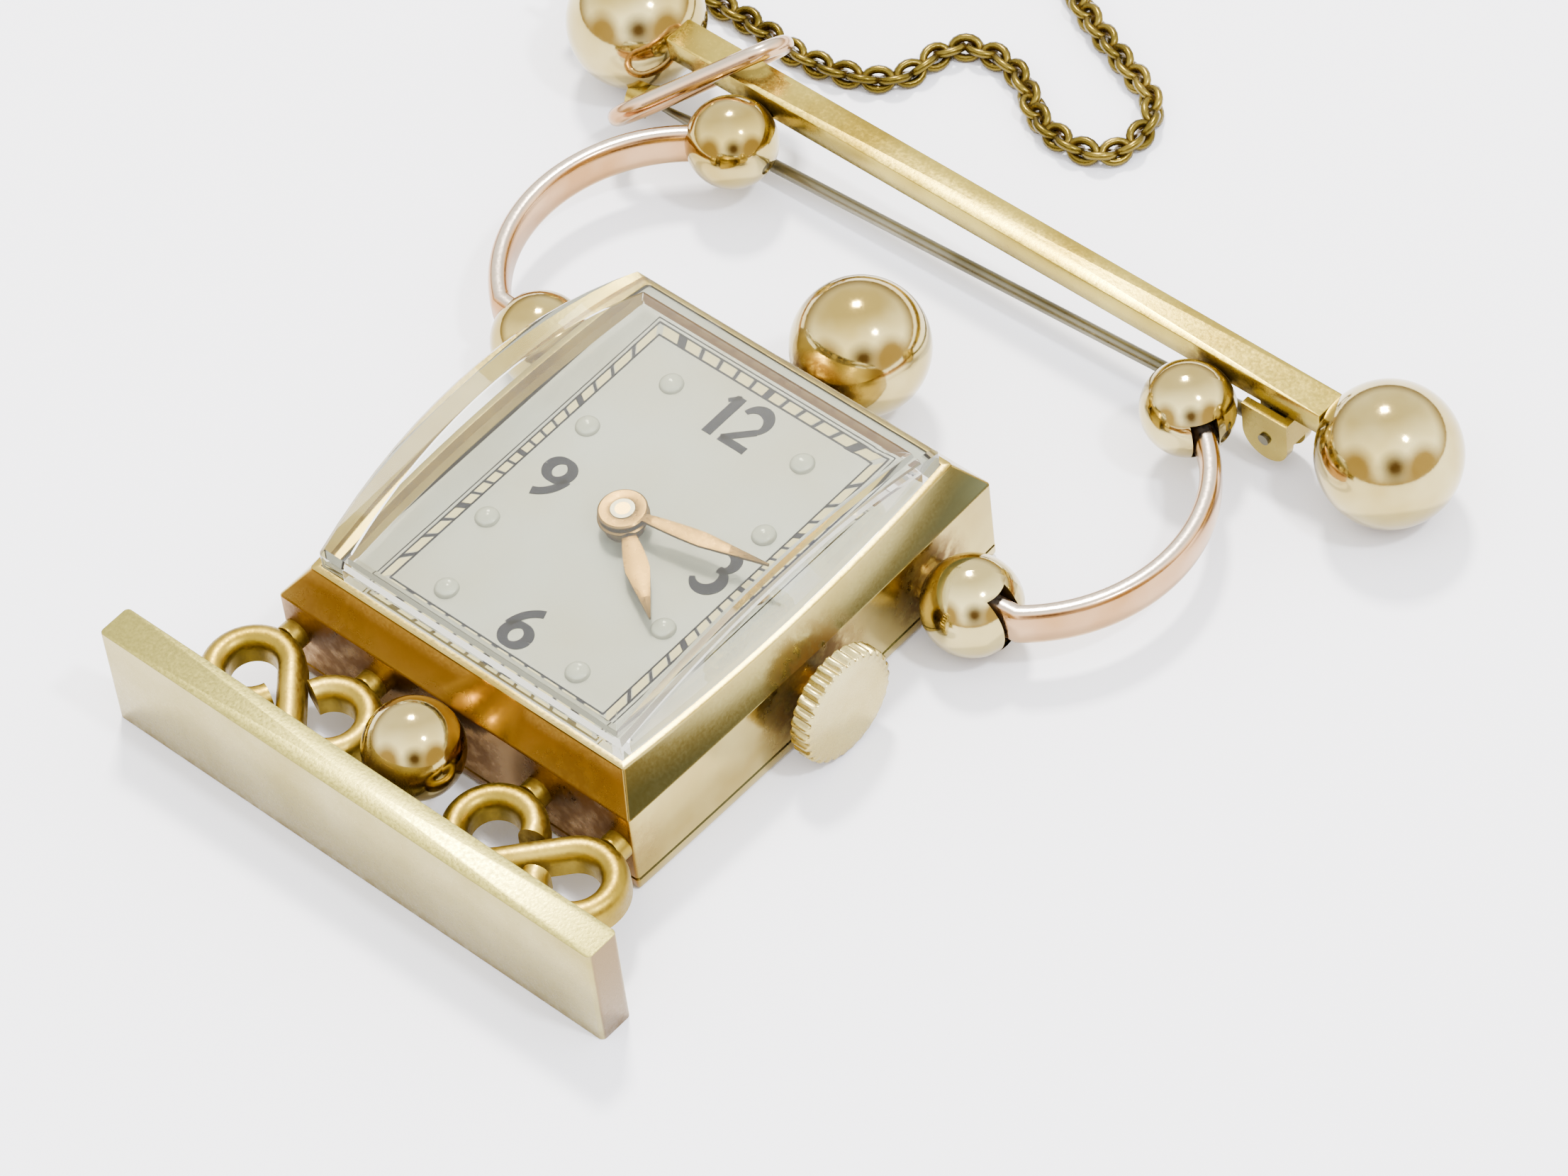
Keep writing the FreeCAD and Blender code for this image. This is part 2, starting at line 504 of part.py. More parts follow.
def make_escapement():
    """Pallet fork, balance wheel with its spokes and roller, and the flat hairspring."""
    x, y = PALLET
    aim = math.degrees(math.atan2(V.balance_y - y, V.balance_x - x))
    lever = solid("Box", "fork_lever", (0, -0.09, 0), Length=0.95, Width=0.18, Height=0.12)
    cross = solid("Box", "fork_arms", (-0.1, -0.62, 0), Length=0.2, Width=1.24, Height=0.12)
    boss = solid("Cylinder", "fork_boss", Radius=0.2, Height=0.12)
    fork = place(fuse("fork_form", lever, cross, boss), (x, y, 1.72), ((0, 0, 1), aim))
    staff = solid("Cylinder", "fork_staff", (x, y, "bridge_bottom + 0.1"), Radius="pivot_radius",
                  Height="plate_bottom + 0.3 - bridge_bottom")
    node("pallet_fork", fuse("pallet_fork", fork, staff))

    x, y = BALANCE
    rim = cut("balance_rim",
              solid("Cylinder", "rim_outer", (x, y, 2.28), Radius="balance_radius", Height=0.22),
              solid("Cylinder", "rim_inner", (x, y, 2.28), Radius="balance_radius - 0.22", Height=0.22))
    spoke = solid("Box", "balance_spoke", (x, y - 0.12, 2.32), Length="2 * balance_radius - 0.2",
                  Width=0.24, Height=0.14)
    bind(spoke, "Placement.Base.x", "balance_x - balance_radius + 0.1")
    staff = solid("Cylinder", "balance_staff", (x, y, "bridge_bottom + 0.1"), Radius="pivot_radius",
                  Height="plate_bottom + 0.3 - bridge_bottom")
    hub = solid("Cylinder", "balance_hub", (x, y, 1.65), Radius=0.14, Height=0.95)
    roller = solid("Cylinder", "balance_roller", (x, y, 1.95), Radius=0.4, Height=0.12)
    node("balance_wheel", fuse("balance_wheel", rim, spoke, staff, hub, roller))

    start, turns, pitch = 0.3, 4, 0.19
    spring = doc.addObject("Part::Feature", "hairspring")
    edges = []
    for half in range(2 * turns):
        radius = start + 0.5 * pitch * half
        side = 1 if half % 2 == 0 else -1
        middle = 0.0 if side == 1 else 0.5 * pitch
        first = (x + middle - side * radius, y, 1.5)
        peak = (x + middle, y + side * radius, 1.5)
        last = (x + middle + side * radius, y, 1.5)
        edges.append(Part.Arc(vec(*first), vec(*peak), vec(*last)).toShape())
    path = Part.Wire(edges)
    begin = path.Edges[0].Vertexes[0].Point
    section = Part.Wire(Part.makePolygon([
        begin + vec(-0.02, 0, -0.05), begin + vec(0.02, 0, -0.05), begin + vec(0.02, 0, 0.05),
        begin + vec(-0.02, 0, 0.05), begin + vec(-0.02, 0, -0.05)]))
    spring.Shape = path.makePipeShell([section], True, True)
    node("hairspring", spring)


def make_winding():
    """Crown, winding stem with its groove, the tube in the case wall and the setting lever."""
    turn = ((0, 1, 0), 90)
    flutes = 30
    points = []
    for i in range(flutes):
        for part, depth in ((0.0, 1.0), (0.12, 0.45), (0.3, 0.08), (0.5, 0.0), (0.7, 0.08), (0.88, 0.45)):
            points.append(polar((0, 0), V.crown_radius - depth * V.crown_flute,
                                (i + part) * 360.0 / flutes))
    knurl = place(block("crown_knurl", ring_of(points), "crown_thick"),
                  ("crown_back", "hub_y", "stem_height"), turn)
    bevel = solid("Cone", "crown_front", ("crown_back", "hub_y", "stem_height"), turn,
                  Radius1="crown_radius + crown_thick - crown_bevel",
                  Radius2="crown_radius - crown_bevel", Height="crown_thick")
    boss = solid("Cylinder", "crown_boss", ("crown_back - 0.3", "hub_y", "stem_height"), turn,
                 Radius=0.9, Height=0.4)
    bore = solid("Cylinder", "crown_bore", ("crown_back - 1", "hub_y", "stem_height"), turn,
                 Radius="stem_radius", Height=1.4)
    node("crown", cut("crown", fuse("crown_form", common("crown_head", knurl, bevel), boss), bore))
    rod = solid("Cylinder", "stem_rod", (4.35, "hub_y", "stem_height"), turn, Radius="stem_radius",
                Height="crown_back + 0.4 - 4.35")
    ring = cut("stem_groove",
               solid("Cylinder", "groove_outer", (5.23, "hub_y", "stem_height"), turn, Radius=0.6,
                     Height=0.2),
               solid("Cylinder", "groove_inner", (5.23, "hub_y", "stem_height"), turn, Radius=0.14,
                     Height=0.2))
    node("winding_stem", cut("winding_stem", rod, ring))
    tube = solid("Cylinder", "tube_outer", ("room_half_x + 0.03", "hub_y", "stem_height"), turn,
                 Radius="tube_radius", Height="crown_back - 0.4 - room_half_x - 0.03")
    hole = solid("Cylinder", "tube_hole", ("room_half_x", "hub_y", "stem_height"), turn,
                 Radius="stem_radius + stem_gap", Height=4)
    node("stem_tube", cut("stem_tube", tube, hole))
    lever = solid("Box", "lever_blade", (5.26, "hub_y - 0.7", "stem_height - 0.4"), Length=0.14,
                  Width=1.4, Height=0.9)
    fork = solid("Box", "lever_fork", (5.0, "hub_y - 0.17", "stem_height - 0.6"), Length=1,
                 Width=0.34, Height=0.77)
    node("setting_lever", cut("setting_lever", lever, fork))


def arm_ends():
    """Where the arm's curve starts and stops: the angles at which it leaves the two balls."""
    low = math.degrees(math.asin((V.side_ball_y - V.arm_centre_y + 0.12) / V.arm_radius))
    high = math.degrees(math.asin((V.top_ball_y - V.arm_centre_y - 0.72) / V.arm_radius))
    return low, high


def tongue_of(name, start, end, wide, drop, rise, length):
    """An upright flat strip from a ball's middle towards the arm's curve."""
    angle = math.degrees(math.atan2(end[1] - start[1], end[0] - start[0]))
    strip = solid("Box", name + "_strip", (0, "-(%s) / 2" % wide, 0), Length=length, Width=wide,
                  Height="%s + %s" % (drop, rise))
    holder = group(name, strip)
    place(holder, (start[0], start[1], "pivot_height - (%s)" % drop), ((0, 0, 1), angle))
    return holder


def make_arm():
    """One C-shaped bail arm: a curved D-section band between two pierced eyes."""
    low, high = arm_ends()
    centre = (V.arm_centre_x, V.arm_centre_y)
    near, far = V.arm_radius - V.arm_width / 2, V.arm_radius + V.arm_width / 2
    outline = [
        arc(centre, far, low, high), line(polar(centre, far, high), polar(centre, near, high)),
        arc(centre, near, low, high), line(polar(centre, near, low), polar(centre, far, low)),
    ]
    band = body_of("arm_band")
    feature = pad(band, "arm_pad", outline, "arm_tall", lift="pivot_height - arm_tall / 2")

    def outer_rim(edge):
        curve = edge.Curve
        return curve.TypeId == "Part::GeomCircle" and abs(curve.Radius - far) < 1e-6
    round_edges(band, feature, "arm_round", outer_rim)
    starts = {"low": ((V.side_ball_x, V.side_ball_y), polar(centre, V.arm_radius, low)),
              "high": ((V.top_ball_x, V.top_ball_y), polar(centre, V.arm_radius, high))}
    pieces = [band]
    for key, (start, end) in starts.items():
        reach = math.dist(start, end) + 0.22
        pieces.append(tongue_of("arm_tongue_" + key, start, end, "arm_width", "arm_tall / 2",
                                "arm_tall / 2", reach))
        pieces.append(solid("Cylinder", "arm_eye_" + key,
                            (start[0] - V.arm_width / 2, start[1], "pivot_height"), ((0, 1, 0), 90),
                            Radius="arm_tall / 2", Height="arm_width"))
    holes = [solid("Cylinder", "arm_hole_" + key, (start[0] - 3, start[1], "pivot_height"),
                   ((0, 1, 0), 90), Radius="pin_radius + running_gap", Height=6)
             for key, (start, _) in starts.items()]
    right = node("arm_right", cut("arm_right", fuse("arm_form", *pieces), *holes))
    node("arm_left", mirror("arm_left", right))
    return starts


def slotted_ball(label, x, y, z, radius, aim, remove, neck=None):
    """A ball with a pocket for the arm's eye, a slot for its tongue and a bore for its cross pin."""
    ball = solid("Sphere", label + "_bead", (x, y, z), ((0, 0, 1), 45), Radius=radius)
    room = "arm_width / 2 + slot_gap"
    deep = "arm_tall / 2 + slot_gap"
    pocket = solid("Box", label + "_pocket", ("%s - (%s)" % (x, room), "%s - (%s)" % (y, deep),
                                              "pivot_height - %s_slot_down" % label),
                   Length="2 * (%s)" % room, Width="2 * (%s)" % deep,
                   Height="%s_slot_down + slot_up" % label)
    bore = solid("Cylinder", label + "_pin_bore", ("%s - %s" % (x, radius), y, "pivot_height"),
                 ((0, 1, 0), 90), Radius="pin_radius", Height="2 * %s" % radius)
    slot = tongue_of(label + "_slot", aim[0], aim[1], "arm_width + 2 * slot_gap",
                     label + "_slot_down", "slot_up", "%s + 1" % radius)
    form = fuse(label + "_form", ball, neck) if neck else ball
    right = node(label + "_right", cut(label + "_right", form, pocket, slot, bore, *remove))
    node(label + "_left", mirror(label + "_left", right))


def cross_pins(label, x, y, radius):
    """The two pins on which the arm eyes turn, one in each ball."""
    reach = "sqrt((%s - 0.12)^2 - (pivot_height - %s_z)^2 - pin_radius^2)" % (radius, label)
    pins = []
    for side in (1, -1):
        pins.append(solid("Cylinder", label + "_pin", ("%d * %s - %s" % (side, x, reach), y,
                                                       "pivot_height"), ((0, 1, 0), 90),
                          Radius="pin_radius", Height="2 * %s" % reach))
    node(label + "_pins", group(label + "_pins", *pins))


def make_side_balls(envelope, aims):
    neck = solid("Cylinder", "side_neck", ("case_half_x - 0.6", "side_ball_y", "side_ball_z"),
                 ((0, 1, 0), 90), Radius="neck_radius", Height="side_ball_x - case_half_x")
    slotted_ball("side_ball", "side_ball_x", "side_ball_y", "side_ball_z", "side_ball_radius",
                aims["low"], [envelope], neck)
    cross_pins("side_ball", "side_ball_x", "side_ball_y", "side_ball_radius")


def make_case_balls(envelope, base):
    ball = solid("Sphere", "case_ball_form", (0, "case_ball_y", "case_ball_z"),
                 Radius="case_ball_radius")
    node("case_ball", cut("case_ball", ball, envelope))
    ball = solid("Sphere", "lower_ball_form", (0, "lower_ball_y", "lower_ball_z"),
                 Radius="lower_ball_radius")
    neck = solid("Cylinder", "lower_ball_neck", (0, "base_front_y + 0.5", "lower_ball_z"),
                 ((1, 0, 0), -90), Radius="lug_radius", Height="-base_front_y - case_half_y")
    node("lower_ball", cut("lower_ball", fuse("lower_ball_whole", ball, neck), envelope, base))


def make_base_plate():
    """The upright slab across the bottom, with rounded back corners and lower ends."""
    back_y = V.base_front_y + V.base_thick
    body = body_of("base_plate")
    outline = ring_of([(-V.base_half_x, V.base_front_y), (V.base_half_x, V.base_front_y),
                       (V.base_half_x, back_y), (-V.base_half_x, back_y)])
    slab = pad(body, "base_slab", outline, "base_tall")

    def back_corner(edge):
        a, b = (v.Point for v in edge.Vertexes)
        return abs(a.z - b.z) > 1 and a.y > back_y - 0.01
    corners = round_edges(body, slab, 0.6, back_corner)

    def low_end(edge):
        a, b = edge.Vertexes[0].Point, edge.Vertexes[-1].Point
        flat = abs(a.z) < 1e-6 and abs(b.z) < 1e-6
        return flat and abs(abs(a.x) - V.base_half_x) < 1e-6 and abs(abs(b.x) - V.base_half_x) < 1e-6 \
            and abs(a.x - b.x) < 1e-6
    round_edges(body, corners, 0.5, low_end)
    return node("base_plate", body)


def scroll_outline():
    """An S of two open loops joined by a straight crossing strand, as a band of even width."""
    radius, half = V.scroll_radius, V.scroll_width / 2
    one = (V.scroll_inner_x, V.scroll_y)
    two = (V.scroll_inner_x + V.scroll_pitch, V.scroll_y)
    tilt = math.degrees(math.acos(2 * radius / V.scroll_pitch))
    start = 28
    wide, slim = radius + half, radius - half
    return [
        arc(one, wide, start, 360 - tilt),
        line(polar(one, wide, -tilt), polar(two, slim, 180 - tilt)),
        arc(two, slim, 180 + start, 540 - tilt),
        line(polar(two, slim, 180 + start), polar(two, wide, 180 + start)),
        arc(two, wide, 180 + start, 540 - tilt),
        line(polar(two, wide, 180 - tilt), polar(one, slim, -tilt)),
        arc(one, slim, start, 360 - tilt),
        line(polar(one, slim, start), polar(one, wide, start)),
    ]


def make_scrolls(envelope, base):
    body = body_of("scroll_band")
    band = pad(body, "scroll_pad", scroll_outline(), "scroll_tall", lift="scroll_bottom")
    top = V.scroll_bottom + V.scroll_tall
    round_edges(body, band, "scroll_round",
                lambda e: flat_at(top)(e) and e.Length > V.scroll_width + 0.05)
    right = node("scroll_right", cut("scroll_right", body, base))
    node("scroll_left", mirror("scroll_left", right))
    lugs = []
    for index in (0, 1):
        at = ("scroll_inner_x + %d * scroll_pitch" % index, "scroll_y", "scroll_bottom + 0.5")
        lugs.append(solid("Cylinder", "lug", at, ((1, 0, 0), -90), Radius="lug_radius",
                          Height="-case_half_y - scroll_y + 0.3"))
        clear = solid("Cylinder", "lug_clear", (at[0], "scroll_y", 0),
                      Radius="scroll_radius + scroll_width / 2 - 0.02", Height=9)
        lugs[-1] = cut("lug_seat", lugs[-1], clear, envelope)
    right = group("lugs_right", *lugs)
    trimmed = cut("lugs_trim", right, body)
    node("solder_lugs", group("solder_lugs", trimmed, mirror("lugs_left", trimmed)))


def make_bar_and_finials(aims):
    """The square-edged brooch bar between its two end balls, and the two bail balls under it."""
    bar = solid("Box", "bar_form", ("-bar_half", "bar_front_y", "bar_top - bar_tall"),
                Length="2 * bar_half", Width="bar_wide", Height="bar_tall")
    ends = [solid("Sphere", "finial_form", ("%d * finial_x" % side, "finial_y", "finial_radius"),
                  Radius="finial_radius") for side in (1, -1)]
    node("brooch_bar", cut("brooch_bar", bar, *ends))
    node("finial_right", ends[0])
    node("finial_left", ends[1])
    slotted_ball("top_ball", "top_ball_x", "top_ball_y", "top_ball_z", "top_ball_radius",
                aims["high"], [bar])
    cross_pins("top_ball", "top_ball_x", "top_ball_y", "top_ball_radius")
    return bar, ends


def make_pin(bar, ends):
    """Hinge bracket, rivet, the pointed pin stem and the open catch."""
    gap = V.eye_thick + 0.08
    cheeks = []
    for low in ("hinge_y - %.3f - cheek_thick" % (gap / 2), "hinge_y + %.3f" % (gap / 2)):
        disc = solid("Cylinder", "cheek_disc", ("hinge_x", low, "hinge_z"), ((1, 0, 0), -90),
                     Radius="cheek_radius", Height="cheek_thick")
        rise = solid("Box", "cheek_rise", ("hinge_x - cheek_radius", low, "hinge_z"),
                     Length="2 * cheek_radius", Width="cheek_thick",
                     Height="bar_top - bar_tall - hinge_z")
        cheeks += [disc, rise]
    web = solid("Box", "hinge_web", ("hinge_x + cheek_radius - 0.3", "hinge_y - %.3f" % (gap / 2), "hinge_z"),
                Length=0.3, Width=gap, Height="bar_top - bar_tall - hinge_z")
    bore = solid("Cylinder", "rivet_bore", ("hinge_x", "hinge_y - 2", "hinge_z"), ((1, 0, 0), -90),
                 Radius="rivet_radius", Height=4)
    node("pin_hinge", cut("pin_hinge", fuse("hinge_form", *cheeks, web), bore))
    half = "(%.3f / 2 + cheek_thick + 0.1)" % gap
    rivet = solid("Cylinder", "hinge_rivet", ("hinge_x", "hinge_y - %s" % half, "hinge_z"),
                  ((1, 0, 0), -90), Radius="rivet_radius", Height="2 * %s" % half)
    node("hinge_rivet", rivet)

    root = vec(V.hinge_x, V.hinge_y, V.hinge_z)
    tip = vec(V.pin_tip_x, V.pin_tip_y, V.pin_tip_z)
    run = tip - root
    turn = FreeCAD.Rotation(vec(0, 0, 1), run)
    rod = solid("Cylinder", "pin_rod", Radius="pin_wire", Height="%.9f - pin_sharp" % run.Length)
    point = solid("Cone", "pin_point", (0, 0, "%.9f - pin_sharp" % run.Length), Radius1="pin_wire",
                  Radius2=0.04, Height="pin_sharp")
    stem = fuse("pin_rod_form", rod, point)
    stem.Placement = FreeCAD.Placement(root, turn)
    eye = solid("Cylinder", "pin_eye", ("hinge_x", "hinge_y - eye_thick / 2", "hinge_z"),
                ((1, 0, 0), -90), Radius="eye_radius", Height="eye_thick")
    hole = solid("Cylinder", "pin_eye_hole", ("hinge_x", "hinge_y - 2", "hinge_z"), ((1, 0, 0), -90),
                 Radius="rivet_radius + running_gap", Height=4)
    node("pin_stem", cut("pin_stem", fuse("pin_form", stem, eye), hole))

    outer = V.catch_inner + V.catch_strip
    first, last = 35, 232
    sector = [arc((0, 0), outer, first, last),
              line(polar((0, 0), outer, last), polar((0, 0), V.catch_inner, last)),
              arc((0, 0), V.catch_inner, first, last),
              line(polar((0, 0), V.catch_inner, first), polar((0, 0), outer, first))]
    hook = block("catch_strip", sector, "catch_wide")
    turn = FreeCAD.Rotation(vec(0, 1, 0), vec(0, 0, 1), vec(1, 0, 0))
    hook.Placement = FreeCAD.Placement(vec(V.catch_x, V.catch_y, V.catch_z), turn)
    node("catch", cut("catch", hook, ends[1]))


def make_link():
    """A long oval wire link hanging loose around the bar."""
    along = vec(0.572, 0.768, 0.286)
    across = vec(0.392, -0.562, 0.728)
    along.normalize()
    across = across - along * across.dot(along)
    across.normalize()
    hang = vec(-V.top_ball_x - V.link_out, V.bar_front_y - V.link_back, V.bar_top - V.link_drop)
    middle = hang + across * V.link_shift
    high, far = V.link_half_height, V.link_half_length

    def point(a, b):
        return middle + along * a + across * b
    flat = far - high
    path = Part.Wire([
        Part.LineSegment(point(-flat, high), point(flat, high)).toShape(),
        Part.Arc(point(flat, high), point(far, 0), point(flat, -high)).toShape(),
        Part.LineSegment(point(flat, -high), point(-flat, -high)).toShape(),
        Part.Arc(point(-flat, -high), point(-far, 0), point(-flat, high)).toShape(),
    ])
    section = Part.Wire(Part.Circle(point(-flat, high), along, V.link_wire).toShape())
    link = doc.addObject("Part::Feature", "oval_link")
    link.Shape = path.makePipeShell([section], True, True)
    node("oval_link", link)


def rounded_path(points, share=0.45):
    """Straight runs joined by tangent arcs, and the tightest radius among them."""
    spots = [vec(*p) for p in points]
    edges, radii = [], []
    cursor = spots[0]
    for before, corner, after in zip(spots, spots[1:], spots[2:]):
        back, ahead = before - corner, after - corner
        reach = share * min(back.Length, ahead.Length)
        half = (math.pi - back.getAngle(ahead)) / 2
        radii.append(reach / math.tan(half))
        back.normalize()
        ahead.normalize()
        enter, leave = corner + back * reach, corner + ahead * reach
        bisector = back + ahead
        bisector.normalize()
        radius = radii[-1]
        middle = corner + bisector * (math.hypot(radius, reach) - radius)
        edges.append(Part.LineSegment(cursor, enter).toShape())
        edges.append(Part.Arc(enter, middle, leave).toShape())
        cursor = leave
    edges.append(Part.LineSegment(cursor, spots[-1]).toShape())
    return Part.Wire(edges), radii


def make_chain():
    """The safety chain's tube, the ring it hangs from and the safety pin at its far end."""
    path, radii = rounded_path(CHAIN_POINTS)
    print("chain length %.1f, radii %s" % (path.Length, [round(r, 1) for r in radii]))
    first, second = vec(*CHAIN_POINTS[0]), vec(*CHAIN_POINTS[1])
    section = Part.Wire(Part.Circle(first, second - first, V.chain_radius).toShape())
    chain = doc.addObject("Part::Feature", "safety_chain")
    chain.Shape = path.makePipeShell([section], True, True)
    print("chain volume ratio %.3f" % (chain.Shape.Volume / (math.pi * V.chain_radius ** 2 * path.Length)))
    print("chain lowest %.2f" % chain.Shape.BoundBox.ZMin)
    node("safety_chain", chain)

    ring = solid("Torus", "chain_ring_form", ("-finial_x - finial_radius - chain_ring_radius + 0.1",
                                              "finial_y", "finial_radius"), ((1, 0, 0), 90),
                 Radius1="chain_ring_radius", Radius2="chain_ring_wire")
    node("chain_ring", cut("chain_ring", ring, NODES["finial_left"]))

    make_chain_pin()


def make_chain_pin():
    """The small safety pin at the chain's end: one bent wire and its folded cap."""
    wire, span, gap = V.safety_pin_wire, V.safety_pin_length, V.safety_pin_gap
    path = Part.Wire([
        Part.LineSegment(vec(span, 0), vec(0, 0)).toShape(),
        Part.Arc(vec(0, 0), vec(-gap / 2, gap / 2), vec(0, gap)).toShape(),
        Part.LineSegment(vec(0, gap), vec(span, gap)).toShape(),
    ])
    section = Part.Wire(Part.Circle(vec(span, 0), vec(-1, 0, 0), wire).toShape())
    bent = doc.addObject("Part::Feature", "safety_wire")
    bent.Shape = path.makePipeShell([section], True, True)
    cap = solid("Box", "safety_cap", ("safety_pin_length - 0.8", -0.55, -0.4), Length=2.1,
                Width="safety_pin_gap + 1.1", Height=0.8)
    pin = fuse("chain_safety_pin", bent, cap)
    end = vec(*CHAIN_POINTS[-1])
    turn = FreeCAD.Rotation(vec(0, 0, 1), 195)
    corner = turn.multVec(vec(-gap / 2 - wire - 0.02, gap / 2, 0))
    pin.Placement = FreeCAD.Placement(end - corner, turn)
    node("chain_safety_pin", pin)


def export():
    """Check every feature and node, then write one STEP for each node."""
    doc.recompute()
    for thing in doc.Objects:
        bad = [s for s in thing.State if s in ("Invalid", "Error")]
        if bad:
            raise RuntimeError("%s is %s" % (thing.Label, bad))
    os.makedirs("parts", exist_ok=True)
    for label, thing in NODES.items():
        shape = thing.Shape
        if shape.isNull() or not shape.isValid() or not shape.Solids:
            raise RuntimeError("%s has no valid solid" % label)
        print("%-18s solids %2d volume %9.3f" % (label, len(shape.Solids), shape.Volume))
        shape.exportStep("parts/%s.step" % label)
    print("nodes", len(NODES))


envelope = make_case()
make_crystal()
make_dial()
make_hands()
make_motion_work()
make_plate_and_bridges()
make_jewels_and_screws()
make_train()
make_escapement()
make_winding()
aims = make_arm()
make_side_balls(envelope, aims)
base = make_base_plate()
make_case_balls(envelope, base)
make_scrolls(envelope, base)
bar, ends = make_bar_and_finials(aims)
make_pin(bar, ends)
make_link()
make_chain()
export()
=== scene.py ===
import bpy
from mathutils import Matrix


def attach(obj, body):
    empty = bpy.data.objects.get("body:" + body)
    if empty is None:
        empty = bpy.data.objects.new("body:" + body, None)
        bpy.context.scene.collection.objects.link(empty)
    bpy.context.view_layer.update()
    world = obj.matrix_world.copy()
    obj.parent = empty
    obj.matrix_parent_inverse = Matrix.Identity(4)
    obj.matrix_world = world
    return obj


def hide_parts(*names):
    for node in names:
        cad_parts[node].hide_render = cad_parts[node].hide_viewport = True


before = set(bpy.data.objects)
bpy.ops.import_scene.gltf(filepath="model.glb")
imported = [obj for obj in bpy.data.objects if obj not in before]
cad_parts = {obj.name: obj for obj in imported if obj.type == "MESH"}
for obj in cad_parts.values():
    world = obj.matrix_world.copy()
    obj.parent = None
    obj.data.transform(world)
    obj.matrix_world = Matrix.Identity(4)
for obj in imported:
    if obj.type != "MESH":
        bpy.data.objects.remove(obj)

"""A pendant fob watch on a bar brooch: the visible pieces, their finishes, the floor, light and camera.

Lengths inside the classes are millimetres in the part's own frame; MM turns them into metres.
"""

import logging
import math
from dataclasses import dataclass, field
from enum import Enum
from typing import Optional, Sequence, Union

import bpy
import numpy as np
from mathutils import Matrix, Vector

log = logging.getLogger("fob_watch")
MM = 0.001
HUB_Y = -0.3
PIVOT_Z = 2.2
INK_SINK = 0.004
SKY_STRENGTH = 6.6
UP = np.array([0.0, 0.0, 1.0])

Array = np.ndarray
Piece = bpy.types.Object
Tree = bpy.types.NodeTree
Socket = bpy.types.NodeSocket
Input = Union[Socket, float, Sequence[float]]


class Side(Enum):
    """Which side of the YZ plane a mirrored piece stands on."""

    RIGHT = 1
    LEFT = -1

    @property
    def word(self) -> str:
        """The side's name as the part's nodes spell it."""
        return self.name.lower()


# ---------------------------------------------------------------- geometry


def unit(rows: Array) -> Array:
    """The rows of an array, each brought to a length of one."""
    return rows / np.linalg.norm(rows, axis=1, keepdims=True)


def arc(x: float, y: float, radius_x: float, radius_y: float, turn: Array) -> Array:
    """Points round an ellipse, at the given angles."""
    return np.stack([x + radius_x * np.cos(turn), y + radius_y * np.sin(turn)], axis=1)


def make_mesh(name: str, points: Array, faces: Array, smooth_deg: float = 38.0) -> Piece:
    """Make an object from points in millimetres and faces, smooth up to an angle.

    Args:
        name: the object's name.
        points: array of N by 3 positions.
        faces: array of M by 3 or M by 4 vertex numbers, or a list of such arrays.
        smooth_deg: edges sharper than this stay sharp.

    Returns:
        The linked object, standing at the origin.
    """
    mesh = bpy.data.meshes.new(name)
    polygons = faces if isinstance(faces, list) else [faces]
    rows = [tuple(int(i) for i in row) for block in polygons for row in np.asarray(block)]
    mesh.from_pydata((np.asarray(points, float) * MM).tolist(), [], rows)
    mesh.validate()
    mesh.shade_smooth()
    mesh.set_sharp_from_angle(angle=math.radians(smooth_deg))
    obj = bpy.data.objects.new(name, mesh)
    bpy.context.scene.collection.objects.link(obj)
    return obj


def grid_faces(rows: int, columns: int, close_rows: bool, close_columns: bool) -> Array:
    """Quads that join a grid of points, optionally closed either way."""
    last_row = rows if close_rows else rows - 1
    last_column = columns if close_columns else columns - 1
    i, j = np.meshgrid(np.arange(last_row), np.arange(last_column), indexing="ij")
    i, j = i.ravel(), j.ravel()
    i2, j2 = (i + 1) % rows, (j + 1) % columns
    return np.stack([i * columns + j, i * columns + j2, i2 * columns + j2, i2 * columns + j], axis=1)


def surface(name: str, grid: Array, close_rows: bool = False, close_columns: bool = True,
            caps: bool = False, smooth_deg: float = 38.0) -> Piece:
    """Make an object from a grid of points, with its open ends closed by fans if wanted.

    Args:
        name: the object's name.
        grid: rows by columns by 3 positions in millimetres.
        close_rows: whether the last row joins the first.
        close_columns: whether the last column joins the first.
        caps: whether the first and last rows are filled.
        smooth_deg: edges sharper than this stay sharp.

    Returns:
        The new object.
    """
    rows, columns = grid.shape[:2]
    points = grid.reshape(-1, 3)
    faces = [grid_faces(rows, columns, close_rows, close_columns)]
    if caps:
        ends = np.stack([grid[0].mean(axis=0), grid[-1].mean(axis=0)])
        base = len(points)
        points = np.vstack([points, ends])
        ring = np.arange(columns)
        after = (ring + 1) % columns
        top = (rows - 1) * columns
        faces.append(np.stack([after, ring, np.full(columns, base)], axis=1))
        faces.append(np.stack([top + ring, top + after, np.full(columns, base + 1)], axis=1))
    obj = make_mesh(name, points, faces, smooth_deg)
    face_outwards(obj)
    return obj


def face_outwards(obj: Piece) -> None:
    """Turn all normals outwards, which a negative signed volume shows they aren't."""
    mesh = obj.data
    mesh.calc_loop_triangles()
    points = np.empty(len(mesh.vertices) * 3)
    mesh.vertices.foreach_get("co", points)
    corners = np.empty(len(mesh.loop_triangles) * 3, dtype=np.int64)
    mesh.loop_triangles.foreach_get("vertices", corners)
    tri = points.reshape(-1, 3)[corners.reshape(-1, 3)]
    volume = np.einsum("ij,ij->i", tri[:, 0], np.cross(tri[:, 1], tri[:, 2])).sum()
    if volume < 0:
        mesh.flip_normals()


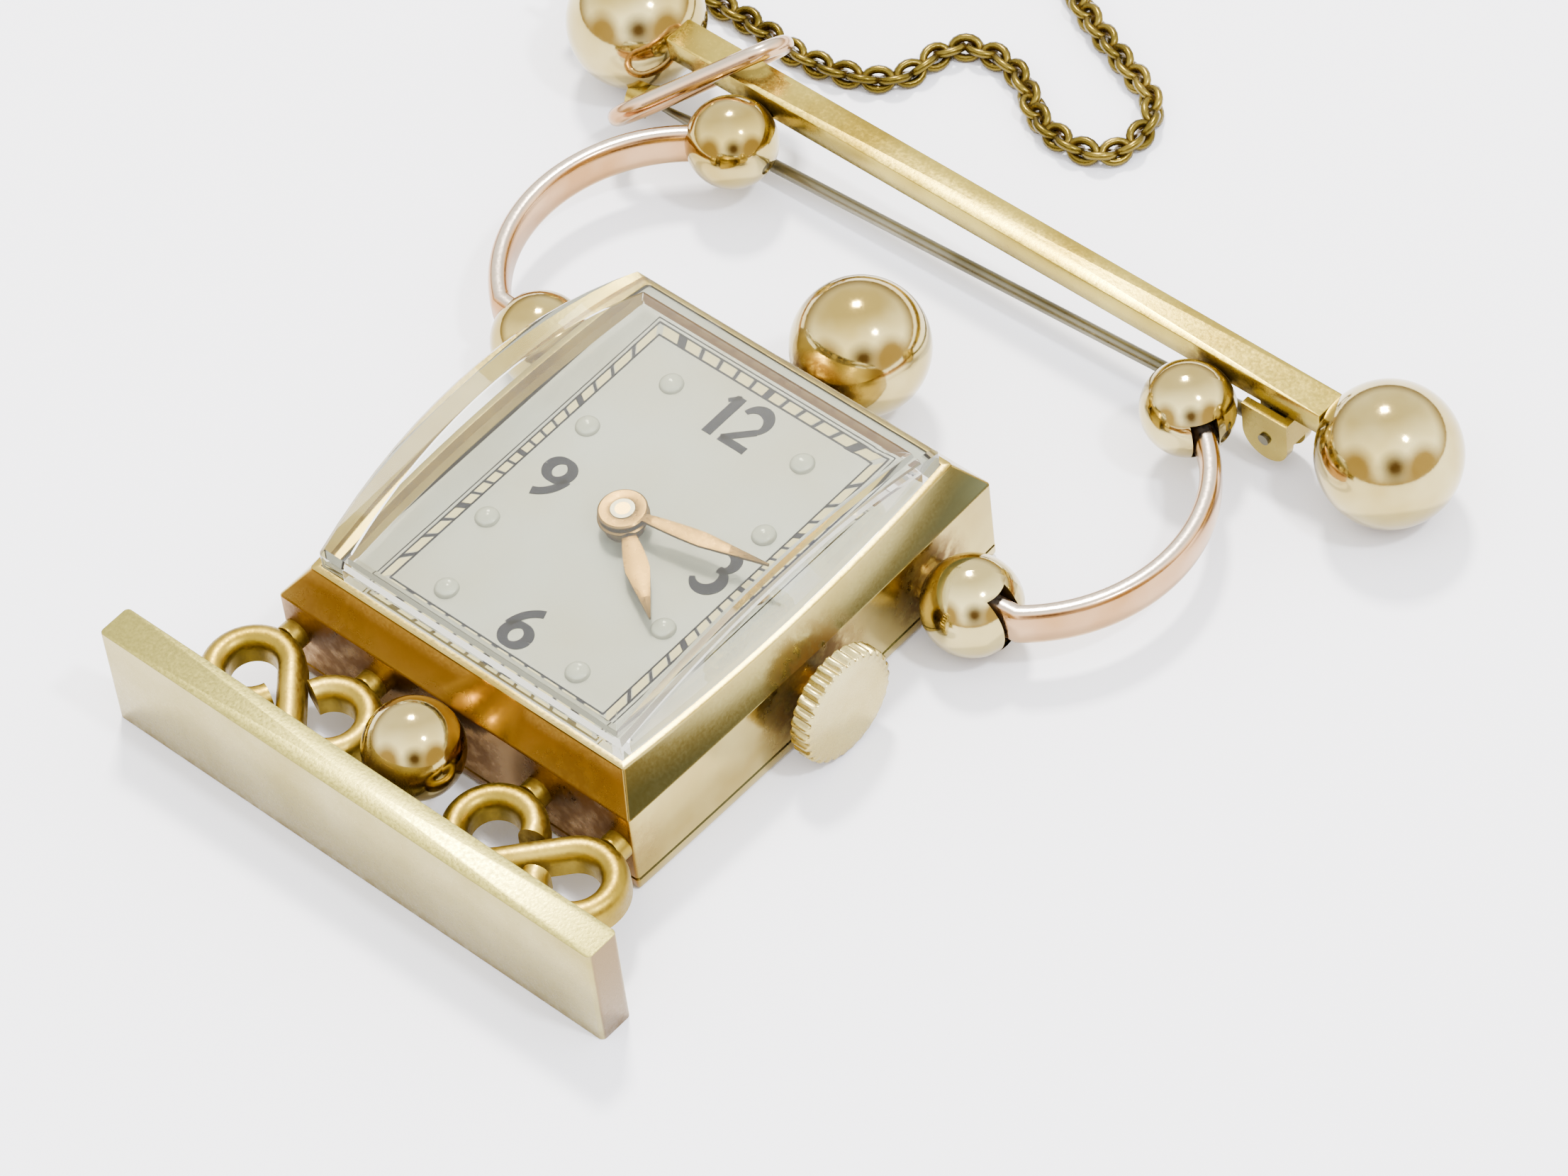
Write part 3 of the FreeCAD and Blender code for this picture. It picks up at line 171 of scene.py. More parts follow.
@dataclass
class Outline:
    """A rectangle with rounded corners whose two long sides swell outwards."""

    half_x: float
    half_y: float
    bow: float = 0.0
    corner: float = 0.2

    def loop(self, per_side: int = 14, per_corner: int = 6) -> Array:
        """Points anticlockwise round the outline: four quarter circles and four straight sides.

        Args:
            per_side: points along each straight side.
            per_corner: points round each corner.

        Returns:
            An array of N by 2.
        """
        reach_x, reach_y = self.half_x - self.corner, self.half_y - self.corner
        points = []
        signs = ((1, 1), (-1, 1), (-1, -1), (1, -1))
        share = np.linspace(0, 1, per_side + 2)[1:-1, None]
        for quarter, (sx, sy) in enumerate(signs):
            turn = math.pi / 2 * (quarter + np.linspace(0, 1, per_corner))
            bend = arc(sx * reach_x, sy * reach_y, self.corner, self.corner, turn)
            nx, ny = signs[(quarter + 1) % 4]
            end = arc(nx * reach_x, ny * reach_y, self.corner, self.corner, turn[-1:])
            points += [bend, bend[-1] + (end - bend[-1]) * share]
        loop = np.vstack(points)
        swell = self.bow * (1 - (loop[:, 1] / self.half_y) ** 2)
        loop[:, 0] += np.clip(loop[:, 0] / self.half_x, -1, 1) * swell
        return loop

    def shrunk(self, by: float) -> "Outline":
        """The same outline moved inwards."""
        return Outline(self.half_x - by, self.half_y - by, self.bow, max(self.corner - by, 0.03))


def stack(name: str, levels: Sequence[tuple[float, Outline]], close_rows: bool = False,
          smooth_deg: float = 38.0, centre: Sequence[float] = (0, 0, 0)) -> Piece:
    """Loft outlines at rising heights into one piece, capped unless its last row joins its first."""
    rows = [np.column_stack([o.loop(), np.full(len(o.loop()), z)]) for z, o in levels]
    grid = np.stack(rows) + np.asarray(centre, float)
    return surface(name, grid, close_rows, True, not close_rows, smooth_deg)


def sweep(name: str, path: Array, section: Array, smooth_deg: float = 50.0) -> Piece:
    """Carry a closed section along an open path, kept upright and turned to the path at each point."""
    tangent = unit(np.gradient(path, axis=0))
    side = unit(np.cross(tangent, UP))
    over = np.cross(side, tangent)
    grid = path[:, None] + side[:, None] * section[None, :, :1] + over[:, None] * section[None, :, 1:]
    return surface(name, grid, False, True, True, smooth_deg)


def rounded_box(half_w: float, half_h: float, power: float = 4.0, count: int = 32) -> Array:
    """A superellipse section: between an ellipse at power 2 and a box at a high power."""
    turn = np.linspace(0, 2 * math.pi, count, endpoint=False)
    c, s = np.cos(turn), np.sin(turn)
    return np.stack([half_w * np.sign(c) * np.abs(c) ** (2 / power),
                     half_h * np.sign(s) * np.abs(s) ** (2 / power)], axis=1)


def globe(name: str, centre: Sequence[float], radius: float, dents: float = 0.004,
          seed: int = 1) -> Piece:
    """A ball whose radius wavers by a few thousandths, from three slow waves over its surface."""
    rings, segments = 72, 144
    fall = np.linspace(0.004, math.pi - 0.004, rings)[:, None]
    turn = np.linspace(0, 2 * math.pi, segments, endpoint=False)[None, :]
    unit = np.stack([np.sin(fall) * np.cos(turn), np.sin(fall) * np.sin(turn),
                     np.cos(fall) * np.ones_like(turn)], axis=2)
    rng = np.random.default_rng(seed)
    waver = np.zeros(unit.shape[:2])
    for _ in range(3):
        aim = rng.normal(size=3)
        waver += np.sin(unit @ (aim * 1.9) + rng.uniform(0, 6))
    grid = np.asarray(centre, float) + unit * (radius * (1 + dents * waver / 3))[:, :, None]
    return surface(name, grid, caps=True)


# ---------------------------------------------------------------- finishes


def linear(code: str) -> tuple[float, float, float, float]:
    """Turn an sRGB hex code such as #D9CFB0 into a linear colour."""
    values = [int(code[i:i + 2], 16) / 255 for i in (1, 3, 5)]
    lin = [v / 12.92 if v <= 0.04045 else ((v + 0.055) / 1.055) ** 2.4 for v in values]
    return (*lin, 1.0)


def add(tree: Tree, kind: str, settings: Optional[dict] = None,
        inputs: Optional[dict] = None) -> bpy.types.Node:
    """Add a node with its settings, and set or link its inputs by name or number."""
    node = tree.nodes.new(kind)
    for key, value in (settings or {}).items():
        setattr(node, key, value)
    feed(tree, node, inputs or {})
    return node


def feed(tree: Tree, node: bpy.types.Node, inputs: dict) -> None:
    """Set or link a node's inputs by name or number."""
    for key, value in inputs.items():
        if isinstance(value, Socket):
            tree.links.new(value, node.inputs[key])
        else:
            node.inputs[key].default_value = value


def calculate(tree: Tree, operation: str, *values: Input) -> Socket:
    """Do arithmetic on sockets and numbers, and return the result's socket."""
    return add(tree, "ShaderNodeMath", {"operation": operation}, dict(enumerate(values))).outputs[0]


def relief(tree: Tree, strength: float, depth_mm: float, height: Socket) -> Socket:
    """A normal roughened by a pattern's heights."""
    return add(tree, "ShaderNodeBump", {}, {"Strength": strength, "Distance": depth_mm * MM,
                                            "Height": height}).outputs[0]


def mix_colour(tree: Tree, factor: Socket, first: Input, second: Input, blend: str = "MIX") -> Socket:
    """Mix two colours and return the result's socket."""
    node = add(tree, "ShaderNodeMix", {"data_type": "RGBA", "blend_type": blend},
               {0: factor, 6: first, 7: second})
    return node.outputs[2]


def remap(tree: Tree, value: Socket, low: float, high: float, to_low: float = 0.0,
          to_high: float = 1.0) -> Socket:
    """Stretch a value from one range to another and return the socket."""
    node = add(tree, "ShaderNodeMapRange", {}, {0: value, 1: low, 2: high, 3: to_low, 4: to_high})
    return node.outputs[0]


def facing_amount(tree: Tree, direction: Socket, aim: Sequence[float], none: float,
                  full: float) -> Socket:
    """How nearly a direction points the aimed way: 0 at one cosine, 1 at the other."""
    dot = add(tree, "ShaderNodeVectorMath", {"operation": "DOT_PRODUCT"},
              {0: direction, 1: Vector(aim).normalized()})
    return remap(tree, dot.outputs["Value"], none, full)


def noise(tree: Tree, coords: Socket, size_mm: float, detail: float = 3.0) -> Socket:
    """Noise whose blotches are about so many millimetres across."""
    node = add(tree, "ShaderNodeTexNoise", {}, {"Vector": coords, "Scale": 1 / (size_mm * MM),
                                                "Detail": detail})
    return node.outputs[0]


def start(name: str) -> tuple[bpy.types.Material, Tree, bpy.types.Node, Socket]:
    """A new material with its shader and the object's own coordinates."""
    material = bpy.data.materials.new(name)
    material.use_nodes = True
    tree = material.node_tree
    shader = tree.nodes["Principled BSDF"]
    coords = add(tree, "ShaderNodeTexCoord").outputs["Object"]
    return material, tree, shader, coords


@dataclass(frozen=True)
class GoldFinish:
    """Rolled gold in random lighter and deeper patches, tinted by facing direction as painted light and
    shade, and browned in hollows and near listed spots as tarnish and painted shade.
    """

    name: str
    light: str
    deep: str
    # Colour of the darkening in hollows and near the listed spots: tarnish and painted shade.
    tarnish_and_shade: str = "#5A3E0A"
    rough: float = 0.16
    patch_mm: float = 3.5
    # Strength of that darkening, tarnish and painted shade together.
    grime_and_shade: float = 0.8
    grain_mm: float = 0.12
    grain: float = 0.05
    reach_mm: float = 0.9
    own_hollows: bool = False
    # Tints by surface direction, each (direction, cosine where it starts, cosine where full, colour):
    # painted light and shade on faces turned one way.
    painted_light_by_facing: tuple[tuple[tuple[float, float, float], float, float, str], ...] = ()
    # Spots (x, y, z, radius in mm) round which the surface darkens: tarnish and painted shade where other
    # parts meet it.
    tarnish_and_shade_spots: tuple[tuple[float, float, float, float], ...] = ()

    def build(self) -> bpy.types.Material:
        """Make the material.

        Returns:
            The new material.
        """
        material, tree, shader, coords = start(self.name)
        patch = noise(tree, coords, self.patch_mm)
        fine = noise(tree, coords, self.grain_mm, 6.0)
        base = mix_colour(tree, remap(tree, patch, 0.35, 0.65), linear(self.light), linear(self.deep))
        normal = add(tree, "ShaderNodeTexCoord").outputs["Normal"]
        # Painted light and shade: faces turned towards each aim take its lighter or darker tint.
        for aim, none, full, shade in self.painted_light_by_facing:
            base = mix_colour(tree, facing_amount(tree, normal, aim, none, full), base, linear(shade))
        # Darkening where the surface is hemmed in, by itself or, unless own_hollows, by other parts:
        # tarnish and painted shade in hollows and between parts.
        hollow = add(tree, "ShaderNodeAmbientOcclusion", {"samples": 6, "only_local": self.own_hollows},
                     {"Distance": self.reach_mm * MM}).outputs["AO"]
        speck = noise(tree, coords, 0.5, 5.0)
        share = 0.35 if self.own_hollows else 1.0
        closed = remap(tree, hollow, 0.75, 0.3, 0.0, self.grime_and_shade * share)
        # Darker still near each listed spot: tarnish and painted shade where other parts meet the surface.
        for x, y, z, radius in self.tarnish_and_shade_spots:
            away = add(tree, "ShaderNodeVectorMath", {"operation": "DISTANCE"},
                       {0: coords, 1: Vector((x, y, z)) * MM}).outputs["Value"]
            near = remap(tree, away, radius * MM, radius * 0.55 * MM, 0.0, self.grime_and_shade)
            closed = calculate(tree, "MAXIMUM", closed, near)
        dirt_and_shade = calculate(tree, "MULTIPLY", closed, remap(tree, speck, 0.3, 0.55))
        rough = remap(tree, fine, 0.3, 0.7, self.rough * 0.8, self.rough * 1.3)
        feed(tree, shader, {
            "Base Color": mix_colour(tree, dirt_and_shade, base, linear(self.tarnish_and_shade)),
            "Metallic": 1.0,
            "Roughness": calculate(tree, "MULTIPLY_ADD", dirt_and_shade, 0.45, rough),
            "Normal": relief(tree, self.grain, 0.02, fine)})
        return material


@dataclass(frozen=True)
class PlainFinish:
    """Paint, plastic, ruby or dull metal: one colour with a faint mottle."""

    name: str
    colour: str
    rough: float = 0.5
    metallic: float = 0.0
    mottle: float = 0.06
    mottle_mm: float = 1.5
    transmission: float = 0.0
    ior: float = 1.5
    gloss: float = 0.5

    def build(self) -> bpy.types.Material:
        """Make the material.

        Returns:
            The new material.
        """
        material, tree, shader, coords = start(self.name)
        blotch = remap(tree, noise(tree, coords, self.mottle_mm, 5.0), 0.3, 0.7, 0.0, self.mottle)
        dark = mix_colour(tree, blotch, linear(self.colour), (0.0, 0.0, 0.0, 1.0))
        feed(tree, shader, {"Base Color": dark, "Metallic": self.metallic, "Roughness": self.rough,
                            "Transmission Weight": self.transmission})
        if self.metallic == 0:
            feed(tree, shader, {"IOR": self.ior, "Specular IOR Level": self.gloss})
        return material


@dataclass(frozen=True)
class AcrylicFinish:
    """Faintly hazed clear acrylic. Shadow rays, and any ray after three bounces, pass straight through."""

    name: str
    tint: str = "#FBFCF6"
    ior: float = 1.49
    gloss: float = 0.12
    clear_after: float = 3.5

    def build(self) -> bpy.types.Material:
        """Make the material.

        Returns:
            The new material.
        """
        material, tree, shader, coords = start(self.name)
        haze = noise(tree, coords, 0.9, 6.0)
        feed(tree, shader, {
            "Base Color": linear(self.tint), "Transmission Weight": 1.0, "IOR": self.ior,
            "Specular IOR Level": self.gloss, "Roughness": remap(tree, haze, 0.35, 0.75, 0.0, 0.012)})
        clear = add(tree, "ShaderNodeBsdfTransparent", {}, {"Color": (0.93, 0.93, 0.91, 1.0)})
        path = add(tree, "ShaderNodeLightPath").outputs
        deep = calculate(tree, "GREATER_THAN", path["Ray Depth"], self.clear_after)
        through = calculate(tree, "MAXIMUM", path["Is Shadow Ray"], deep)
        both = add(tree, "ShaderNodeMixShader", {}, {0: through, 1: shader.outputs[0],
                                                     2: clear.outputs[0]})
        feed(tree, tree.nodes["Material Output"], {"Surface": both.outputs[0]})
        return material


@dataclass(frozen=True)
class DialFinish:
    """A silvered, lacquered dial: fine pearly grain, faint yellowing and a few age spots."""

    name: str
    silver: str = "#666A62"
    aged: str = "#605F4E"

    def build(self) -> bpy.types.Material:
        """Make the material.

        Returns:
            The new material.
        """
        material, tree, shader, coords = start(self.name)
        age = remap(tree, noise(tree, coords, 4.0, 4.0), 0.35, 0.8)
        colour = mix_colour(tree, age, linear(self.silver), linear(self.aged))
        spots = remap(tree, noise(tree, coords, 0.35, 2.0), 0.72, 0.8, 0.0, 0.5)
        colour = mix_colour(tree, spots, colour, linear("#8C7F5E"))
        grain = noise(tree, coords, 0.05, 2.0)
        feed(tree, shader, {"Base Color": colour, "Metallic": 0.2, "Roughness": 0.5,
                            "Normal": relief(tree, 0.12, 0.01, grain)})
        return material


# Case gold: painted amber on faces turned towards 6 and painted grey-green shade on the sloped shoulder;
# darkening near the crown, side balls, end balls and scrolls is tarnish and painted shade.
CASE_GOLD = GoldFinish(
    "case_gold", "#B9A763", "#9C873F", tarnish_and_shade="#64400A", rough=0.17, grime_and_shade=0.75, own_hollows=True,
    painted_light_by_facing=(((0, -1, 0), 0.5, 0.9, "#86601A"), ((0.72, 0, 0.69), 0.93, 0.985, "#56583E")),
    tarnish_and_shade_spots=((8.0, HUB_Y, 2.2, 2.9), (8.0, 5.75, 1.9, 2.1), (-8.0, 5.75, 1.9, 2.1), (0, 9.15, 3.0, 2.4),
            (5.6, -9.15, 2.0, 3.0), (-5.6, -9.15, 2.0, 3.0), (0, -9.15, 2.2, 2.4)))
# Base plate: painted shade on the right end, on the edge turned front and up, and in olive on the top face.
PLATE_GOLD = GoldFinish("plate_gold", "#B3A673", "#9E9054", rough=0.3, grain=0.25, grime_and_shade=0.7,
                        painted_light_by_facing=(((1, 0, 0), 0.8, 0.95, "#7E6A4C"), ((0, -1, 1), 0.9, 0.98, "#3E382C"),
                                ((0, 0, 1), 0.85, 0.97, "#98904E")))
BALL_GOLD = GoldFinish("ball_gold", "#C2B37C", "#A38E4C", rough=0.1, grime_and_shade=0.9)
BAR_GOLD = GoldFinish("bar_gold", "#B3A14C", "#937E2C", rough=0.22, grain=0.12)
SCROLL_GOLD = GoldFinish("scroll_gold", "#A9913A", "#7C671C", rough=0.36, grain=0.3, grime_and_shade=0.9)
# Bail arms: painted pale sheen on faces turned up and painted darker amber shade on faces turned down.
ROSE_GOLD = GoldFinish("rose_gold", "#C4A07A", "#AB8052", rough=0.18, grime_and_shade=0.5,
                       painted_light_by_facing=(((0, 0, 1), 0.75, 0.97, "#C0B2A4"), ((0, 0, -1), 0.0, 0.8, "#A8843C")))
CHAIN_GOLD = GoldFinish("chain_gold", "#74642A", "#4E4216", rough=0.28, grime_and_shade=1.0, reach_mm=0.3)
HAND_GOLD = GoldFinish("hand_gilt", "#72582A", "#54401A", rough=0.3, grime_and_shade=0.2)
CROWN_GOLD = GoldFinish("crown_gold", "#C1B47C", "#A99656", rough=0.26, grime_and_shade=0.9, grain=0.12, reach_mm=0.5)
STEEL = GoldFinish("grey_steel", "#7E7A68", "#5E5A48", tarnish_and_shade="#2A2418", rough=0.34, grime_and_shade=0.6)
NICKEL = GoldFinish("nickel", "#B5B3AC", "#A2A098", tarnish_and_shade="#57554C", rough=0.28, grime_and_shade=0.2)
BRASS = GoldFinish("gilt_brass", "#C8A559", "#B38B3C", rough=0.3, grime_and_shade=0.2)
ACRYLIC = AcrylicFinish("crystal_acrylic")
DIAL = DialFinish("dial_silver")
TRACK_LIGHT = PlainFinish("track_cream", "#9A926A", rough=0.55, gloss=0.1)
INK = PlainFinish("numeral_slate", "#0D0F17", rough=0.6, gloss=0.03, mottle=0.0)
DOT = PlainFinish("dot_clear", "#8E9184", rough=0.06, metallic=0.4, mottle=0.0)
RUBY = PlainFinish("ruby", "#A5183A", rough=0.1, transmission=0.5, ior=1.76)
FLOOR = PlainFinish("floor_white", "#F0F2FC", rough=0.75, mottle=0.0)
_made: dict[str, bpy.types.Material] = {}
Finish = Union[GoldFinish, PlainFinish, AcrylicFinish, DialFinish]


def coat(obj: Piece, finish: Finish) -> Piece:
    """Give an object one finish, made on its first use."""
    if finish.name not in _made:
        _made[finish.name] = finish.build()
    obj.data.materials.clear()
    obj.data.materials.append(_made[finish.name])
    return obj


def show(obj: Piece, finish: Finish, body: str, *nodes: str) -> Piece:
    """Coat a piece, let it ride on a body and stand for CAD nodes."""
    coat(obj, finish)
    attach(obj, body)
    if nodes:
        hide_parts(*nodes)
    return obj


# ---------------------------------------------------------------- the watch


@dataclass
class WatchCase:
    """The case wall, its sloped shoulder, the lip round the crystal and the snap back."""

    wall: Outline = field(default_factory=lambda: Outline(8.0, 9.15, 0.12, 0.14))
    lip: Outline = field(default_factory=lambda: Outline(7.15, 8.3, 0.4, 0.12))
    seam: float = 0.6
    shoulder: float = 3.7
    top: float = 4.93
    seat: float = 4.45
    lip_width: float = 0.28
    room: Outline = field(default_factory=lambda: Outline(6.5, 7.8, 0.02, 0.2))

    def build(self) -> None:
        """Make the shell as a closed loop of levels, and the back below the seam."""
        inner = self.lip.shrunk(self.lip_width)
        shell = stack("case_shell_form", [
            (self.seam, self.room), (self.seam, self.wall.shrunk(0.05)), (self.seam + 0.05, self.wall),
            (self.shoulder - 0.04, self.wall), (self.shoulder, self.wall.shrunk(0.02)),
            (self.shoulder + 0.04, self.wall.shrunk(0.05)),
            (self.top - 0.09, self.lip), (self.top - 0.02, self.lip.shrunk(0.03)),
            (self.top, self.lip.shrunk(0.09)), (self.top, inner), (self.seat, inner),
            (self.seat, self.room)], close_rows=True, smooth_deg=24)
        show(shell, CASE_GOLD, "case", "case_shell")
        back = stack("case_back_form", [
            (0.0, self.wall.shrunk(0.22)), (0.03, self.wall.shrunk(0.12)), (0.1, self.wall.shrunk(0.04)),
            (0.2, self.wall), (self.seam - 0.08, self.wall), (self.seam - 0.03, self.wall.shrunk(0.04)),
            (self.seam - 0.01, self.room)], smooth_deg=24)
        show(back, CASE_GOLD, "case", "case_back")


@dataclass
class Crystal:
    """A thick acrylic crystal, upright at its sides and arched along the watch."""

    edge: Outline = field(default_factory=lambda: Outline(6.86, 8.01, 0.4, 0.12))
    seat: float = 4.46
    top: float = 7.35
    end_top: float = 5.7
    wall: float = 0.75
    roof: float = 0.9
    bevel: float = 0.16
    inner_bevel: float = 0.1

    def height(self, y: Array, drop: float = 0.0) -> Array:
        """The arch: a circle through the top of the middle and the top of the ends, lowered by drop."""
        half, rise = self.edge.half_y, self.top - self.end_top
        bend = (half ** 2 + rise ** 2) / (2 * rise) - drop
        return self.top - drop - bend + np.sqrt(bend ** 2 - np.minimum(y ** 2, half ** 2))

    def skin(self, outline: Outline, low: float, drop: float, bevel_by: float) -> list[Array]:
        """Rows from the rim up the wall and in over the arch to its middle."""
        loop = outline.loop()
        inset = outline.shrunk(bevel_by).loop()
        rows = [np.column_stack([loop, np.full(len(loop), low)]),
                np.column_stack([loop, self.height(loop[:, 1], drop) - bevel_by])]
        rows.append(np.column_stack([inset, self.height(inset[:, 1], drop)]))
        for share in np.linspace(0.92, 0.02, 22):
            flat = inset * np.array([share, share])
            rows.append(np.column_stack([flat, self.height(flat[:, 1], drop)]))
        return rows

    def build(self) -> None:
        """Make the outer and inner skins as one closed surface joined at the rim."""
        outer = self.skin(self.edge, self.seat, 0.0, self.bevel)
        inner = self.skin(self.edge.shrunk(self.wall), self.seat, self.roof, self.inner_bevel)
        grid = np.stack(inner[::-1] + outer)
        crystal = surface("crystal_form", grid, caps=True, smooth_deg=30)
        show(crystal, ACRYLIC, "case", "crystal")


@dataclass
class Dial:
    """The dial plate with its printed minute track, numerals and eight raised dots."""

    height: float = 4.3
    outer: tuple[float, float] = (5.2, 7.08)
    inner: tuple[float, float] = (4.84, 6.65)
    border: tuple[float, float] = (5.36, 7.24)
    dot_radius: float = 0.44
    dot_rise: float = 0.26
    print_scale: float = 1.14
    ink_thick: float = 0.016
    line_thick: float = 0.012

    def build(self) -> None:
        """Make the plate's print: two lines, the blocks between them, numerals and dots."""
        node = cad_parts["dial"]
        coat(node, DIAL)
        self.track()
        self.numerals()
        dots = []
        for sx in (-1, 1):
            for sy in (-1, 1):
                dots += [(sx * 2.98, HUB_Y + sy * 5.57), (sx * 4.02, HUB_Y + sy * 2.49)]
        for number, (x, y) in enumerate(dots):
            self.dot(number, x, y)

    def dot(self, number: int, x: float, y: float) -> None:
        """One low cabochon: a quarter-wave dome on a flat foot."""
        radius = self.dot_radius
        share = np.linspace(1, 0.01, 14)[:, None]
        turn = np.linspace(0, 2 * math.pi, 40, endpoint=False)[None, :]
        ones = np.ones_like(turn)
        grid = np.stack([x + radius * share * np.cos(turn), y + radius * share * np.sin(turn),
                         self.height + self.dot_rise * np.sqrt(1 - share ** 2 * 0.999) * ones], axis=2)
        foot = grid[0].copy()
        foot[:, 2] = self.height - 0.01
        piece = surface("dial_dot_%d" % number, np.concatenate([foot[None], grid]), caps=True)
        if number == 0:
            show(piece, DOT, "case", "dial_dots")
        else:
            show(piece, DOT, "case")

    def edge_point(self, minute: float, half: tuple[float, float]) -> Array:
        """Where a minute's ray from the middle meets a rectangle of that half size."""
        turn = math.radians(90 - 6 * minute)
        ray = np.array([math.cos(turn), math.sin(turn)])
        reach = min(half[0] / max(abs(ray[0]), 1e-9), half[1] / max(abs(ray[1]), 1e-9))
        return ray * reach

    def track(self) -> None:
        """Two thin lines and, between them, cream minutes parted by slate ticks and 5-minute blocks."""
        lines = ((self.outer, 0.07), (self.inner, 0.07), (self.border, 0.04))
        for number, (half, width) in enumerate(lines):
            self.frame_line("track_line_%d" % number, half, width)
        z = self.height
        quads: dict[str, list[Array]] = {"cream": [], "slate": []}
        for minute in range(60):
            spans = [(0.13, 0.87, "cream")]
            spans.append((-0.2, 0.2, "slate") if minute % 5 == 0 else (-0.08, 0.08, "slate"))
            for first, last, kind in spans:
                corners = [self.edge_point(minute + share, half) for share, half in (
                    (first, self.outer), (last, self.outer), (last, self.inner), (first, self.inner))]
                if self.same_side(corners):
                    quads[kind].append(np.array(corners))
        self.slabs("track_minutes", quads["cream"], z, 0.008, TRACK_LIGHT)
        self.slabs("track_ticks", quads["slate"], z, 0.012, INK)

    @staticmethod
    def same_side(corners: Sequence[Array]) -> bool:
        """Whether a block lies along one side of the track and doesn't cut a corner."""
        first, last = corners[0], corners[1]
        return abs(first[0] - last[0]) < 1e-6 or abs(first[1] - last[1]) < 1e-6

    @staticmethod
    def slabs(name: str, quads: Sequence[Array], z: float, thick: float, finish: Finish) -> None:
        """Many thin closed slabs in one object, each from a quad."""
        count = len(quads)
        flat = np.array(quads)
        low = np.concatenate([flat, np.full((count, 4, 1), z - INK_SINK)], axis=2)
        high = np.concatenate([flat, np.full((count, 4, 1), z + thick)], axis=2)
        points = np.concatenate([low, high], axis=1).reshape(-1, 3)
        cell = np.array([[3, 2, 1, 0], [4, 5, 6, 7], [0, 1, 5, 4],
                         [1, 2, 6, 5], [2, 3, 7, 6], [3, 0, 4, 7]])
        faces = (np.arange(count)[:, None, None] * 8 + cell[None]).reshape(-1, 4)
        obj = make_mesh(name, points, faces)
        show(obj, finish, "case")

    def frame_line(self, name: str, half: tuple[float, float], width: float) -> None:
        """A thin closed rectangle line, lying on the dial."""
        outer = Outline(half[0] + width / 2, half[1] + width / 2, 0, 0.03)
        inner = outer.shrunk(width)
        low, high = self.height - INK_SINK, self.height + self.line_thick
        line = stack(name, [(low, outer), (high, outer), (high, inner), (low, inner)], close_rows=True)
        show(line, INK, "case")

    def stroke(self, name: str, line: Array, width: Array) -> None:
        """A flat pen stroke along a line, with its own width at each point and round ends."""
        tangent = unit(np.gradient(line, axis=0))
        side = np.stack([-tangent[:, 1], tangent[:, 0]], axis=1)
        left, right = line + side * width[:, None] / 2, line - side * width[:, None] / 2
        low, high = self.height - INK_SINK, self.height + self.ink_thick
        corners = ((left, low), (left, high), (right, high), (right, low))
        rows = [np.column_stack([edge, np.full(len(line), z)]) for edge, z in corners]
        grid = np.stack(rows, axis=1)
        show(surface(name, grid, close_columns=True, caps=True), INK, "case")

    def numerals(self) -> None:
        """12, 3, 6 and 9, drawn with the fat and thin strokes of a broad pen."""
        def curve(x: float, y: float, rx: float, ry: float, first: float, last: float) -> Array:
            """Part of an ellipse, from one angle in degrees to another."""
            return arc(x, y, rx, ry, np.radians(np.linspace(first, last, 40)))

        def run(*points: tuple[float, float]) -> Array:
            """Straight lines through the points."""
            points = np.array(points, float)
            share = np.linspace(0, len(points) - 1, 12 * (len(points) - 1) + 1)
            known = np.arange(len(points))
            return np.stack([np.interp(share, known, points[:, k]) for k in (0, 1)], axis=1)

        def wave(count: int, thin: float, fat: float) -> Array:
            """Widths that swell from thin to fat and back."""
            return thin + (fat - thin) * np.sin(np.linspace(0, math.pi, count)) ** 1.2

        tall = 1.62
        glyphs: dict[str, list[tuple[Array, Array]]] = {}
        one = run((0.0, 0.0), (0.0, tall))
        flag = run((0.0, tall), (-0.3, tall - 0.3))
        two_top = curve(0.48, tall - 0.48, 0.44, 0.46, 165, -35)
        two_low = run((0.84, tall - 0.74), (0.06, 0.12))
        two_foot = run((0.02, 0.13), (1.02, 0.13))
        glyphs["12"] = [(one, np.full(len(one), 0.32)), (flag, np.full(len(flag), 0.14)),
                        (two_top + [0.42, 0], wave(40, 0.16, 0.34)),
                        (two_low + [0.42, 0], np.full(len(two_low), 0.22)),
                        (two_foot + [0.42, 0], np.full(len(two_foot), 0.24))]
        three_top = curve(0.42, tall - 0.42, 0.38, 0.38, 150, -80)
        three_low = curve(0.44, 0.47, 0.46, 0.46, 85, -150)
        glyphs["3"] = [(three_top, wave(40, 0.14, 0.34)), (three_low, wave(40, 0.16, 0.38))]
        stem = curve(1.0, 0.5, 0.98, 1.08, 172, 108)
        bowl = curve(0.5, 0.47, 0.4, 0.38, 0, 360)
        weight = 0.2 + 0.13 * np.abs(np.cos(np.radians(np.linspace(0, 360, 40))))
        glyphs["6"] = [(stem, np.full(len(stem), 0.26)), (bowl, weight)]
        flip = np.array([1.0, tall])
        glyphs["9"] = [(flip - line, width) for line, width in glyphs["6"]]
        places = {"12": (0.05, 5.3), "3": (3.75, 0.1), "6": (0.2, -5.55), "9": (-3.4, -0.2)}
        for text, strokes in glyphs.items():
            every = np.vstack([line for line, _ in strokes])
            middle = (every.min(axis=0) + every.max(axis=0)) / 2
            for number, (line, width) in enumerate(strokes):
                self.stroke("numeral_%s_%d" % (text, number),
                            (line - middle) * self.print_scale + np.array(places[text]), width * 1.25)


